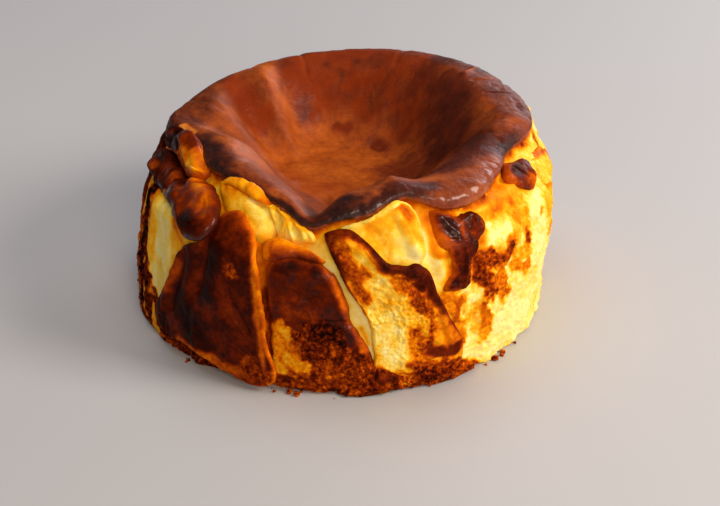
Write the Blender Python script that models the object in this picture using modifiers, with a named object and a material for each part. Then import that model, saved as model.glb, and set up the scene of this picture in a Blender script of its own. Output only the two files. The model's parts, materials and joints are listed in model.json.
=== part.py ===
"""A burnt Basque cheesecake, one solid, in metres, standing on z = 0.

The cake is a round drum that rose in a paper-lined tin and sank as it cooled. It has a thick rolled rim,
a dish in the top, a wall that narrows under the rim, and on the wall the folds that the creased paper left.
The front is -Y and the middle of the whole cake is on the Z axis.
"""
from collections import namedtuple
from math import atan2, cos, degrees, exp, hypot, pi, radians, sin, sqrt

import bpy
from mathutils import Vector, noise

MM = 0.001

# Driving dimensions, in metres
BASE_RADIUS = 79.4 * MM
BASE_CENTRE = Vector((-1.1 * MM, 0.2 * MM, 0.0))   # the right side bulges, so the foot lies to the left
RIM_HEIGHT = 71.9 * MM
RIM_RADIUS = 71.5 * MM
RIM_SHIFT = 3.0 * MM                               # the rim leans this far to the right of the foot
DISH_FLOOR = 47.0 * MM
DISH_FLAT = 0.32                                   # share of the dish's radius that lies almost level
ROLL_WIDTH = 7.0 * MM                              # the rim's rolled edge, from its crest outwards
ROLL_HEIGHT = 4.5 * MM                             # and from its crest down to its widest line
ROLL_TURN = 105.0                                  # degrees that the roll turns, down to the crease
SHOULDER_HEIGHT = 15.0 * MM                        # the wall slopes out from the crease over this height
TAPER_START = 28.0 * MM                            # above this level the wall draws in
TAPER_DEPTH = 5.5 * MM
TAPER_POWER = 1.6
FOOT_ROUND = 1.8 * MM
FOLD_EDGE = 3.4 * MM                               # a fold's edge rises over this width
FOLD_TUCK = 4.0 * MM                               # folds thin out this far below the crease
UNEVENNESS = 0.9 * MM
UNEVENNESS_SIZE = 16.0 * MM

# The drum that is shaped into the cake: rings across its top, down its wall and across its base
SEGMENTS = 128
DISH_RINGS = 12
ROLL_RINGS = 5
WALL_RINGS = 17
BASE_RINGS = 3
DRUM_RADIUS = 80.0 * MM
DRUM_HEIGHT = 70.0 * MM
ROLL_SHARE = 0.2                                   # outer share of the drum's top that becomes the roll
WELD = 0.02 * MM

# Angles run anticlockwise seen from above: 0 is the right, -90 the front, 180 the left and 90 the back.
RimWave = namedtuple("RimWave", "angle spread rise outward roll drop puff")
RIM_WAVES = {
    "left corner": RimWave(168, 16, -5.0, -0.5, -1.0, 0.0, 0.0),
    "left back": RimWave(135, 26, -1.8, -2.2, 0.0, 0.0, 0.0),
    "ear": RimWave(169, 8, 0.5, 3.5, -1.5, 3.0, 1.0),
    "left bay": RimWave(-165, 14, -1.0, -9.0, 4.5, 1.6, 0.0),
    "left scoop": RimWave(-128, 20, -0.8, -12.0, -1.5, -0.6, 0.0),
    "front dip": RimWave(-97, 24, -4.4, 0.0, -1.5, -1.8, 0.0),
    "front notch": RimWave(-98, 4.0, -3.6, 2.6, -1.2, 0.0, 0.0),
    "front cushion": RimWave(-84, 7, 2.4, 0.0, 4.5, 1.0, 0.8),
    "raised edge": RimWave(-70, 6, 3.0, -6.0, 1.5, -1.2, 0.5),
    "front right lip": RimWave(-52, 12, -1.8, 0.5, 14.0, -0.8, 3.4),
    "right gather": RimWave(-36, 7, 0.0, -3.2, 0.0, 0.0, 0.0),
    "right scoop": RimWave(-18, 10, -1.5, -9.5, 0.0, -0.5, 0.0),
    "right shoulder": RimWave(20, 24, 1.9, 0.0, 9.0, 0.5, 0.0),
    "right back": RimWave(50, 24, 2.5, -1.2, 0.0, 0.0, 0.0),
}

# Ridges and hollows that run from the rim down into the dish
DishFold = namedtuple("DishFold", "rim_angle floor_angle spread inner_share rise")
DISH_FOLDS = {
    "gully to the notch": DishFold(-99, -104, 7, 0.25, -3.4 * MM),
    "back left ridge": DishFold(124, 134, 5, 0.36, 3.6 * MM),
    "back left hollow": DishFold(140, 150, 6, 0.36, -3.2 * MM),
    "second back ridge": DishFold(156, 166, 6, 0.40, 3.0 * MM),
    "back hollow": DishFold(104, 108, 11, 0.42, -2.6 * MM),
    "back right ridge": DishFold(62, 74, 6, 0.42, 1.6 * MM),
    "right crease": DishFold(38, 54, 4, 0.50, -1.8 * MM),
    "front right hollow": DishFold(-58, -50, 13, 0.50, -4.0 * MM),
    "right hollow": DishFold(-8, 5, 12, 0.50, -2.5 * MM),
}

# Broad swellings of the wall
Bulge = namedtuple("Bulge", "angle spread level height amount")
BULGES = {
    "right bulge": Bulge(-12, 34, 44 * MM, 15 * MM, 3.2 * MM),
    "left slope": Bulge(-178, 28, 48 * MM, 16 * MM, -5.0 * MM),
    "back slope": Bulge(95, 45, 52 * MM, 16 * MM, -1.5 * MM),
}

# Folds on the wall: a tongue from a top point to a bottom point, each with its half width
WallFold = namedtuple("WallFold", ("top_angle", "top_level", "bottom_angle", "bottom_level",
                                   "top_half", "bottom_half", "thickness"))
WALL_FOLDS = {
    "left flap": WallFold(-122, 53, -129, 16, 7, 24, 3.4),
    "middle flap": WallFold(-99, 45, -95, 14, 9, 15, 2.6),
    "front flap": WallFold(-84, 54, -69, 18, 9, 17, 3.0),
    "cream fold": WallFold(-76, 66, -80, 60, 7, 9, 2.0),
    "cream lobe": WallFold(-118, 64, -102, 57, 6, 5, 2.0),
    "dark fold": WallFold(-55, 60, -57, 38, 7, 4, 2.6),
    "left knob": WallFold(-172, 55, -156, 57, 5, 4, 3.0),
    "left pouch": WallFold(-150, 58, -132, 56, 5, 5, 4.0),
    "left petal": WallFold(-172, 63, -150, 63, 4, 4, 3.0),
    "right nub": WallFold(-26, 64, -21, 60, 5, 5, 3.0),
    "right knob": WallFold(-3, 58, -3, 53, 6, 6, 1.0),
    "right back flap": WallFold(38, 54, 32, 14, 7, 15, 2.6),
    "back flap": WallFold(84, 56, 93, 16, 7, 18, 2.2),
    "back left flap": WallFold(130, 53, 139, 16, 8, 16, 2.4),
    "left back fold": WallFold(168, 48, 172, 14, 5, 9, 1.0),
}

CRUST_COLOUR = (0.19, 0.055, 0.02, 1.0)


def remove_old_objects():
    for old in list(bpy.data.objects):
        bpy.data.objects.remove(old, do_unlink=True)


def ease(value):
    """Smooth step from 0 to 1."""
    value = min(max(value, 0.0), 1.0)
    return value * value * (3.0 - 2.0 * value)


def turn_between(angle, other):
    """Signed difference of two angles in degrees, between -180 and 180."""
    return (angle - other + 180.0) % 360.0 - 180.0


def swell(distance, spread):
    """Bell curve: 1 at no distance, falling to almost nothing at three spreads."""
    return exp(-0.5 * (distance / spread) ** 2)


def rim_waves(angle, field):
    """Sum of one field of the rim's waves at an angle in degrees."""
    near = [(swell(turn_between(angle, wave.angle), wave.spread), wave) for wave in RIM_WAVES.values()]
    return MM * sum(share * getattr(wave, field) for share, wave in near)


def rim_radius(angle):
    """Radius of the rim's widest line at an angle in degrees."""
    return RIM_RADIUS + RIM_SHIFT * cos(radians(angle)) + rim_waves(angle, "outward")


def dish_fold_rise(angle, share):
    """How far the dish's folds lift or sink its surface at a share of the way out to the crest."""
    rise = 0.0
    for fold in DISH_FOLDS.values():
        if share > fold.inner_share:
            along = (share - fold.inner_share) / (1.0 - fold.inner_share)
            middle = fold.floor_angle + along * turn_between(fold.rim_angle, fold.floor_angle)
            fade = sin(pi * min(along, 1.0)) ** 0.7
            rise += fold.rise * fade * swell(turn_between(angle, middle), fold.spread)
    return rise


def top_point(angle, share):
    """Radius and height on the top: the dish out to the crest, then the rolled edge down to the crease."""
    roll_width = ROLL_WIDTH + rim_waves(angle, "roll")
    roll_height = ROLL_HEIGHT + rim_waves(angle, "drop")
    crest_radius = rim_radius(angle) - roll_width
    crest_height = RIM_HEIGHT + rim_waves(angle, "rise")
    dish_share = 1.0 - ROLL_SHARE
    if share <= dish_share:
        out = share / dish_share
        slope = ease((out - DISH_FLAT) / (1.0 - DISH_FLAT))
        height = DISH_FLOOR + (crest_height - DISH_FLOOR) * slope + dish_fold_rise(angle, out)
        return out * crest_radius, height
    rolled = (share - dish_share) / ROLL_SHARE
    turn = radians(ROLL_TURN) * rolled
    radius = crest_radius + roll_width * sin(turn)
    puffed = rim_waves(angle, "puff") * sin(pi * rolled)
    return radius, crest_height + puffed - roll_height * (1.0 - cos(turn))


def fold_thickness(angle, height):
    """How far the folds stand out of the wall at a point of it."""
    thickness = 0.0
    for fold in WALL_FOLDS.values():
        along_x = radians(turn_between(fold.bottom_angle, fold.top_angle)) * BASE_RADIUS
        along_z = (fold.bottom_level - fold.top_level) * MM
        from_x = radians(turn_between(angle, fold.top_angle)) * BASE_RADIUS
        from_z = height - fold.top_level * MM
        along = (from_x * along_x + from_z * along_z) / (along_x ** 2 + along_z ** 2)
        along = min(max(along, 0.0), 1.0)
        half = (fold.top_half + (fold.bottom_half - fold.top_half) * along) * MM
        away = hypot(from_x - along * along_x, from_z - along * along_z)
        thickness = max(thickness, fold.thickness * MM * ease((half - away) / FOLD_EDGE + 0.5))
    return thickness


def wall_radius(angle, height):
    """Radius of the wall: taper, bulges, the shoulder up to the crease, folds and the rounded foot."""
    taper = max(height - TAPER_START, 0.0) / (RIM_HEIGHT - TAPER_START)
    radius = BASE_RADIUS - TAPER_DEPTH * taper ** TAPER_POWER
    for bulge in BULGES.values():
        side = swell(turn_between(angle, bulge.angle), bulge.spread)
        radius += bulge.amount * side * swell(height - bulge.level, bulge.height)
    crease_radius, crease_height = top_point(angle, 1.0)
    shoulder = ease((height - crease_height + SHOULDER_HEIGHT) / SHOULDER_HEIGHT)
    stand = fold_thickness(angle, height)
    stand *= min((crease_height - height) / FOLD_TUCK, 1.0)
    stand += crease_radius * shoulder + radius * (1.0 - shoulder)
    if height < FOOT_ROUND:
        stand -= FOOT_ROUND * (1.0 - sqrt(1.0 - (1.0 - height / FOOT_ROUND) ** 2))
    return stand


def cake_point(drum_point):
    """Where a point of the plain drum lies on the cake."""
    angle = degrees(atan2(drum_point.y, drum_point.x))
    share = hypot(drum_point.x, drum_point.y) / DRUM_RADIUS
    level = drum_point.z / DRUM_HEIGHT
    if level > 1.0 - WELD / DRUM_HEIGHT:
        radius, height = top_point(angle, share)
    elif level < WELD / DRUM_HEIGHT:
        radius, height = share * wall_radius(angle, 0.0), 0.0
    else:
        height = level * top_point(angle, 1.0)[1]
        radius = wall_radius(angle, height)
    point = Vector((radius * cos(radians(angle)), radius * sin(radians(angle)), height))
    if height > FOOT_ROUND:
        outward = Vector((point.x, point.y, 0.0)).normalized() if share > 0.9 else Vector((0.0, 0.0, 1.0))
        point += outward * UNEVENNESS * noise.noise(point / UNEVENNESS_SIZE)
    return point + BASE_CENTRE


def drum_profile():
    """Half section of the drum, from the middle of the top out, down the wall and in to the base's middle."""
    dish_edge = DRUM_RADIUS * (1.0 - ROLL_SHARE)
    profile = [(dish_edge * i / DISH_RINGS, DRUM_HEIGHT) for i in range(DISH_RINGS + 1)]
    ring_step = DRUM_RADIUS * ROLL_SHARE / ROLL_RINGS
    profile += [(dish_edge + ring_step * i, DRUM_HEIGHT) for i in range(1, ROLL_RINGS + 1)]
    profile += [(DRUM_RADIUS, DRUM_HEIGHT * (1.0 - i / WALL_RINGS)) for i in range(1, WALL_RINGS + 1)]
    profile += [(DRUM_RADIUS * (1.0 - i / BASE_RINGS), 0.0) for i in range(1, BASE_RINGS + 1)]
    return profile


def turned_drum(name):
    """The drum as a mesh, turned from its half section."""
    section = bpy.data.meshes.new(name + "_section")
    corners = [(x, 0.0, z) for x, z in drum_profile()]
    section.from_pydata(corners, [(i, i + 1) for i in range(len(corners) - 1)], [])
    turned = bpy.data.objects.new(name + "_turned", section)
    bpy.context.scene.collection.objects.link(turned)
    screw = turned.modifiers.new("Turn", "SCREW")
    screw.steps = SEGMENTS
    screw.render_steps = SEGMENTS
    screw.use_merge_vertices = True
    screw.merge_threshold = WELD
    drum = bpy.data.meshes.new_from_object(turned.evaluated_get(bpy.context.evaluated_depsgraph_get()))
    bpy.data.objects.remove(turned, do_unlink=True)
    drum.name = name
    return drum


def crust_material():
    material = bpy.data.materials.new("baked_custard")
    material.use_nodes = True
    finish = material.node_tree.nodes["Principled BSDF"]
    finish.inputs["Base Color"].default_value = CRUST_COLOUR
    finish.inputs["Roughness"].default_value = 0.5
    finish.inputs["Metallic"].default_value = 0.0
    return material


def make_cheesecake(collection):
    mesh = turned_drum("cheesecake")
    for vertex in mesh.vertices:
        vertex.co = cake_point(vertex.co)
    mesh.materials.append(crust_material())
    mesh.shade_smooth()
    cake = bpy.data.objects.new("cheesecake", mesh)
    collection.objects.link(cake)
    return cake


def main():
    remove_old_objects()
    collection = bpy.data.collections.new("basque_cheesecake")
    bpy.context.scene.collection.children.link(collection)
    cake = make_cheesecake(collection)
    corners = [vertex.co for vertex in cake.data.vertices]
    for axis in range(3):
        low = min(corner[axis] for corner in corners) / MM
        high = max(corner[axis] for corner in corners) / MM
        print(f"{'xyz'[axis]} from {low:.2f} to {high:.2f} mm")


main()
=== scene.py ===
# %% [markdown]
# # A burnt Basque cheesecake
# This cake is baked very hot in a tin lined with one creased sheet of baking paper. Batter runs into every
# crease, so the wall comes out with flaps and folds. The top rises, burns and then sinks, which leaves a rim.
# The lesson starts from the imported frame, a plain solid of the right size, and makes the surface around it.

# %% Load the frame
import json
from collections import namedtuple
from math import cos, pi, radians, sin

import bmesh
import bpy
import numpy as np
from mathutils import Matrix, Vector

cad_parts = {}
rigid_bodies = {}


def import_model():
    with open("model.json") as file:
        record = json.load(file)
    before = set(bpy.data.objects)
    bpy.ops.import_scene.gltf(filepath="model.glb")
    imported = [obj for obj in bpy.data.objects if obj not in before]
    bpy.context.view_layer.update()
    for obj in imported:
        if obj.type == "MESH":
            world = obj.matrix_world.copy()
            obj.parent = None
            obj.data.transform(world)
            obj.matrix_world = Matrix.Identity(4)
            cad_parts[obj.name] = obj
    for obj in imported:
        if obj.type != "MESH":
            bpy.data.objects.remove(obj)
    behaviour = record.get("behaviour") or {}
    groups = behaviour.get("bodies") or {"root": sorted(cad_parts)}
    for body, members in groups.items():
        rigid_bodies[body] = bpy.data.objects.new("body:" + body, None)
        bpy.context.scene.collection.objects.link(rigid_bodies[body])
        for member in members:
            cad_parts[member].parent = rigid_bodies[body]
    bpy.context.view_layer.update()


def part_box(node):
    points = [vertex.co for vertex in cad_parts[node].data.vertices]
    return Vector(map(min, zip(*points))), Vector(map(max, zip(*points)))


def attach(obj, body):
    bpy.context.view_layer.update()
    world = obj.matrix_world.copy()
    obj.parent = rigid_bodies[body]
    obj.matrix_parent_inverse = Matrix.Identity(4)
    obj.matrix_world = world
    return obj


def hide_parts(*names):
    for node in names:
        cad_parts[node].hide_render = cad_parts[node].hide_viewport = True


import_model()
low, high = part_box("cheesecake")
print("frame, in mm:", [round(1000 * (b - a), 1) for a, b in zip(low, high)])

# %% [markdown]
# ## Sizes
# Everything is worked out in millimetres and turned to metres when a mesh is written. Angles are in degrees,
# anticlockwise from above: 0 is the right, -90 the front, 180 the left and 90 the back. A place on the wall is
# an angle and a level above the base. The cake's own foot circle lies a little off the middle of its box.

# %% Driving sizes
MM = 0.001
FOOT_CENTRE = np.array([-1.1, 0.2, 0.0])
FOOT_RADIUS = 79.4
RIM_HEIGHT = (high.z - low.z) / MM - 3.6   # the crest's level; its back right stands higher
RIM_RADIUS = 71.5
RIM_SHIFT = 3.0          # the rim leans to the right of the foot
DISH_FLOOR = 46.5
ROLL_WIDTH = 7.0         # the rim's rolled edge, from crest to widest line
ROLL_HEIGHT = 4.5
ROLL_TURN = 105.0
ROLL_SHARE = 0.2         # outer share of the top's rings that make the roll
SHOULDER_HEIGHT = 15.0   # the wall slopes out from the crease over this height
TAPER_START = 28.0
TAPER_DEPTH = 5.5
TAPER_POWER = 1.6
FOOT_ROUND = 1.6

# %% [markdown]
# ## Small helpers for arrays
# A mesh of this size has a hundred thousand points, so the sculpting is done on whole arrays with numpy. `ease`
# is a soft step, `swell` a bell curve, and `away_from_line` says how far points lie from a short stroke.

# %% Array helpers
def ease(value):
    value = np.clip(value, 0.0, 1.0)
    return value * value * (3.0 - 2.0 * value)


def blend(low_value, high_value, share):
    return low_value + (high_value - low_value) * share


def swell(distance, spread):
    return np.exp(-0.5 * (distance / spread) ** 2)


def turn_between(angle, other):
    return (angle - other + 180.0) % 360.0 - 180.0


def arc(angle, other):
    """Length along the foot circle between two angles, in mm."""
    return np.radians(turn_between(angle, other)) * FOOT_RADIUS


def away_from_line(x, y, end_x, end_y):
    """Distance of points from the line that runs from the origin to an end point."""
    along = np.clip((x * end_x + y * end_y) / max(end_x ** 2 + end_y ** 2, 1e-6), 0.0, 1.0)
    return np.hypot(x - along * end_x, y - along * end_y)


def lattice(cell, seed):
    """A repeatable random number from 0 to 1 for every whole-numbered cell."""
    mixed = (cell[..., 0] * 73856093 ^ cell[..., 1] * 19349663 ^ cell[..., 2] * 83492791 ^ seed * 2971215073)
    mixed = ((mixed & 0xFFFFFFFF) ^ 0x9E3779B9) * 0x45D9F3B & 0xFFFFFFFF
    mixed = (mixed ^ mixed >> 15) * 0x2C1B3C6D & 0xFFFFFFFF
    return (mixed ^ mixed >> 13) / 0xFFFFFFFF


def lumps(points, size, seed=0):
    """Smooth lumps of one size in mm, from -1 to 1."""
    cell = points / size
    corner = np.floor(cell).astype(np.int64)
    inside = ease(cell - corner)
    total = 0.0
    for step in np.ndindex(2, 2, 2):
        weight = np.prod(np.where(step, inside, 1.0 - inside), axis=-1)
        total = total + weight * lattice(corner + step, seed)
    return 2.0 * total - 1.0


def rough(points, size, octaves, seed=0):
    """Lumps on lumps, each octave half the size and half the height of the last."""
    return sum(lumps(points, size / 2 ** i, seed + i) / 2 ** i for i in range(octaves)) / 1.5


def bubbles(points, size, seed=0):
    """Distance to the nearest of many scattered bubble centres, in shares of the bubble spacing."""
    cell = points / size
    corner = np.floor(cell).astype(np.int64)
    nearest = np.full(len(points), 9.0)
    for step in np.ndindex(3, 3, 3):
        home = corner + np.array(step) - 1
        centre = home + np.stack([lattice(home, seed + i) for i in range(3)], axis=-1)
        nearest = np.minimum(nearest, np.linalg.norm(cell - centre, axis=-1))
    return nearest


# %% [markdown]
# ## The shape in words
# The rim is a circle with a few waves: where paper was creased it is drawn in or pushed out. The dish has
# ridges and hollows that run out to the rim. The wall has a bulge and a slope. Each of these is one named line.

# %% Waves of the rim and of its roll
Wave = namedtuple("Wave", "angle spread rise outward roll drop puff")
RIM_WAVES = {
    "left corner": Wave(168, 16, -5.0, -0.5, -1.0, 0.0, 0.0),
    "left back": Wave(135, 26, -1.8, -2.2, 0.0, 0.0, 0.0),
    "ear": Wave(169, 8, 0.5, 3.5, -1.5, 3.0, 1.0),
    "left bay": Wave(-165, 14, -1.0, -9.0, 4.5, 1.6, 0.0),
    "left scoop": Wave(-128, 20, -0.8, -12.0, -1.5, -0.6, 0.0),
    "front dip": Wave(-97, 24, -4.4, 0.0, -1.5, -1.8, 0.0),
    "front notch": Wave(-98, 4.0, -3.6, 2.6, -1.2, 0.0, 0.0),
    "front cushion": Wave(-84, 7, 2.4, 0.0, 4.5, 1.0, 0.8),
    "raised edge": Wave(-70, 6, 3.0, -6.0, 1.5, -1.2, 0.5),
    "front right lip": Wave(-52, 12, -1.8, 0.5, 14.0, -0.8, 3.4),
    "right gather": Wave(-36, 7, 0.0, -3.2, 0.0, 0.0, 0.0),
    "right scoop": Wave(-18, 10, -1.5, -9.5, 0.0, -0.5, 0.0),
    "right shoulder": Wave(20, 24, 1.9, 0.0, 9.0, 0.5, 0.0),
    "right back": Wave(50, 24, 2.5, -1.2, 0.0, 0.0, 0.0),
}


def waves(angle, part):
    return sum(getattr(w, part) * swell(turn_between(angle, w.angle), w.spread) for w in RIM_WAVES.values())


def rim_radius(angle):
    return RIM_RADIUS + RIM_SHIFT * np.cos(np.radians(angle)) + waves(angle, "outward")


# %% Ridges and hollows of the dish
Fold = namedtuple("Fold", "rim_angle floor_angle spread inner rise")
DISH_FOLDS = {
    "gully to the notch": Fold(-99, -104, 7, 0.25, -3.4),
    "back left ridge": Fold(124, 134, 5, 0.36, 3.6),
    "back left hollow": Fold(140, 150, 6, 0.36, -3.2),
    "second back ridge": Fold(156, 166, 6, 0.40, 3.0),
    "back hollow": Fold(104, 108, 11, 0.42, -2.6),
    "back right ridge": Fold(62, 74, 6, 0.42, 1.6),
    "right crease": Fold(38, 54, 3.5, 0.50, -1.8),
    "front right hollow": Fold(-58, -50, 13, 0.50, -4.0),
    "right hollow": Fold(-8, 5, 12, 0.50, -2.5),
}


def dish_fold_rise(angle, out):
    rise = 0.0
    for fold in DISH_FOLDS.values():
        along = np.clip((out - fold.inner) / (1.0 - fold.inner), 0.0, 1.0)
        middle = fold.floor_angle + along * turn_between(fold.rim_angle, fold.floor_angle)
        rise = rise + fold.rise * np.sin(pi * along) ** 0.7 * swell(turn_between(angle, middle), fold.spread)
    return rise


DISH_FLAT = 0.30         # inner share of the dish that is flat
DISH_FLAT_RIGHT = 0.12   # and how much more of it at the back right
PUFF_FOOT = 0.45         # a puffed roll draws the dish in beside it by this share


def top_point(angle, share):
    """Radius and level on the top: the dish out to its crest, then the roll down to the crease under it."""
    roll = ROLL_WIDTH + waves(angle, "roll")
    crest_radius = rim_radius(angle) - roll
    crest_level = RIM_HEIGHT + waves(angle, "rise")
    dish_share = 1.0 - ROLL_SHARE
    out = np.minimum(share / dish_share, 1.0)
    flat = DISH_FLAT + DISH_FLAT_RIGHT * swell(turn_between(angle, 40.0), 60.0)
    slope = ease((out - flat) / (1.0 - flat))
    turn = radians(ROLL_TURN) * np.clip((share - dish_share) / ROLL_SHARE, 0.0, 1.0)
    radius = out * crest_radius + roll * np.sin(turn)
    level = blend(DISH_FLOOR, crest_level, slope) + dish_fold_rise(angle, out)
    swollen = np.sin(pi * turn / radians(ROLL_TURN)) - PUFF_FOOT * swell(out - 0.93, 0.05)
    puff = waves(angle, "puff") * swollen
    return radius, level + puff - (ROLL_HEIGHT + waves(angle, "drop")) * (1.0 - np.cos(turn))


# %% Swellings of the wall
Bulge = namedtuple("Bulge", "angle spread level height amount")
BULGES = {
    "right bulge": Bulge(-12, 34, 44, 15, 3.2),
    "left slope": Bulge(-178, 28, 48, 16, -5.0),
    "back slope": Bulge(95, 45, 52, 16, -1.5),
}


CREASE_TUCK = 0.8        # the top of the wall lies this far inside the crust's edge


def wall_radius(angle, level):
    taper = np.clip(level - TAPER_START, 0.0, None) / (RIM_HEIGHT - TAPER_START)
    radius = FOOT_RADIUS - TAPER_DEPTH * taper ** TAPER_POWER
    for bulge in BULGES.values():
        side = swell(turn_between(angle, bulge.angle), bulge.spread)
        radius = radius + bulge.amount * side * swell(level - bulge.level, bulge.height)
    crease_radius, crease_level = top_point(angle, 1.0)
    shoulder = ease((level - crease_level + SHOULDER_HEIGHT) / SHOULDER_HEIGHT)
    return blend(radius, crease_radius - CREASE_TUCK, shoulder)


def on_wall(angle, level, out):
    """Points that stand a distance out of the smooth wall, square to it."""
    step = 0.5
    lean = (wall_radius(angle, level + step) - wall_radius(angle, level - step)) / (2.0 * step)
    length = np.sqrt(1.0 + lean ** 2)
    radius = wall_radius(angle, level) + out / length
    turn = np.radians(angle)
    return np.stack([radius * np.cos(turn), radius * np.sin(turn), level - out * lean / length], axis=-1)


sides = np.array([0.0, -90.0, 180.0, 90.0])
print("wall radius at mid height, right front left back:", np.round(wall_radius(sides, 35.0), 1))

# %% [markdown]
# ## Marks and creases
# Two kinds of stroke are drawn on the wall. A crease lifts or sinks the surface along a line. A mark bakes it:
# it gives a bake from 0, pale custard, to 1, black, and a crumb from 0, smooth skin, to 1, torn and crumbly.
# Strokes are easier to place than single spots, and noise on their width makes their edges look baked.

# %% Strokes on the wall
Crease = namedtuple("Crease", "angle level end_angle end_level half rise")
Mark = namedtuple("Mark", "angle level end_angle end_level half bake crumb")


def away_from_stroke(angle, level, stroke):
    x = arc(angle, stroke.angle)
    y = level - stroke.level
    return away_from_line(x, y, arc(stroke.end_angle, stroke.angle), stroke.end_level - stroke.level)


def crease_rise(angle, level, creases):
    rise = np.zeros_like(angle)
    for crease in creases:
        rise += crease.rise * ease(1.0 - away_from_stroke(angle, level, crease) / crease.half)
    return rise


def painted(angle, level, ground, marks):
    """Bake and crumb over a ground, with every mark's edge broken up by noise."""
    places = np.stack([arc(angle, -90.0), level, np.zeros_like(angle)], axis=-1)
    ragged = 1.1 * lumps(places, 5.0, 31) + 1.0 * lumps(places, 2.2, 32)
    bake = np.full_like(angle, ground[0])
    crumb = np.full_like(angle, ground[1])
    for mark in marks:
        away = away_from_stroke(angle, level, mark)
        soft = min(1.0 + 0.25 * mark.half, 3.0) * (1.0 - 0.4 * mark.crumb)
        loose = min(mark.half / 4.0, 1.0) * (1.0 + 1.2 * mark.crumb)
        covered = ease((mark.half - away + loose * ragged) / (2.0 * soft) + 0.5)
        bake = blend(bake, mark.bake, covered)
        crumb = blend(crumb, mark.crumb, covered)
    return bake, crumb


# %% [markdown]
# ## Turned meshes
# The wall and the crust are both spun: a few vertices in a row make a half section of a plain drum, and
# `bmesh.ops.spin` turns it about the Z axis. A spin leaves one vertex per step at the axis, so doubles are
# merged before the normals are recalculated. The drum's points are then moved to where the cake's surface is.

# %% Spin a drum and move its points
DRUM_WELD = 1e-5


def finished_object(name, bm):
    mesh = bpy.data.meshes.new(name)
    bm.to_mesh(mesh)
    bm.free()
    mesh.shade_smooth()
    piece = bpy.data.objects.new(name, mesh)
    bpy.context.scene.collection.objects.link(piece)
    return piece


def spun_drum(name, section, steps):
    bm = bmesh.new()
    corners = [bm.verts.new((x, 0.0, z)) for x, z in section]
    line = [bm.edges.new(pair) for pair in zip(corners, corners[1:])]
    bmesh.ops.spin(bm, geom=corners + line, cent=(0, 0, 0), axis=(0, 0, 1), angle=2 * pi, steps=steps,
                   use_merge=True)
    bmesh.ops.remove_doubles(bm, verts=bm.verts, dist=DRUM_WELD)
    bmesh.ops.recalc_face_normals(bm, faces=bm.faces)
    return finished_object(name, bm)


def read_points(piece):
    points = np.empty(3 * len(piece.data.vertices), np.float32)
    piece.data.vertices.foreach_get("co", points)
    return points.reshape(-1, 3).astype(float)


def write_points(piece, points):
    """Puts a piece's points, in mm about the foot circle's centre, in their place in metres."""
    placed = (points + FOOT_CENTRE) * MM
    piece.data.vertices.foreach_set("co", placed.astype(np.float32).ravel())
    piece.data.update()


def write_values(piece, **values):
    for name, value in values.items():
        layer = piece.data.attributes.new(name, "FLOAT", "POINT")
        layer.data.foreach_set("value", np.clip(value, 0.0, 1.0).astype(np.float32))


CRUMB_BAKE = 0.10        # high crumbs are baked this much darker for each mm they stand out
PORE = 3.4               # spacing of the large pores in mm
SMALL_PORE = 1.9
GRIT = 1.5               # spacing of the crumbs
TORN_LUMP = 9.0          # the torn surface also rises and falls over this length


def crumbled(points, crumb, seed):
    """How far torn custard stands out: pores 1 to 2 mm wide and crumbs between them."""
    torn = crumb > 0.02
    places = points[torn]
    pores = ease(1.0 - bubbles(places, PORE, seed) / 0.5)
    pores = pores + 0.6 * ease(1.0 - bubbles(places, SMALL_PORE, seed + 3) / 0.5)
    grit = 0.5 - bubbles(places, GRIT, seed + 5)
    out = np.zeros_like(crumb)
    out[torn] = crumb[torn] * (1.3 * rough(places, TORN_LUMP, 3, seed + 9) - 1.1 * pores + 1.0 * grit)
    return out


# %% [markdown]
# ## The body
# The body is the custard itself: base, wall and a hidden lid under the crust, as one closed mesh. Its ground is
# pale custard. The marks below say where the hot paper browned it between the flaps, and one also paints
# shade under the left flap.

# %% What shows on the wall between the flaps
WALL_CREASES = [
    Crease(-110, 60, -108, 14, 4.5, -1.8),      # valley between the two left flaps
    Crease(-92, 49, -79, 12, 5.0, -1.2),        # slope beside the front flap
    Crease(-68, 66, -65, 44, 4.5, -1.8),        # valley beside the cream fold
    Crease(-49, 61, -27, 59, 3.5, 1.6),         # pale ledge under the right of the rim
    Crease(-44, 64.5, -30, 63, 2.4, -1.2),
    Crease(-52, 50, -51, 6, 5.0, -1.2),
    Crease(-29, 54, -30, 38, 2.6, 1.2),
    Crease(-28, 50, -27, 20, 5.0, -0.8),
    Crease(-150, 50, -150, 14, 10.0, -0.8),     # smooth hollow on the left
    Crease(-157, 50, -156, 6, 4.0, 0.9),
    Crease(-140, 4, -118, 2, 4.0, -1.4),
    Crease(58, 60, 58, 8, 3.5, -1.6),
    Crease(106, 62, 106, 8, 4.0, -1.6),
    Crease(137, 60, 137, 8, 4.0, -1.4),
    Crease(12, 58, 18, 10, 5.0, -1.0),
]
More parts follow.
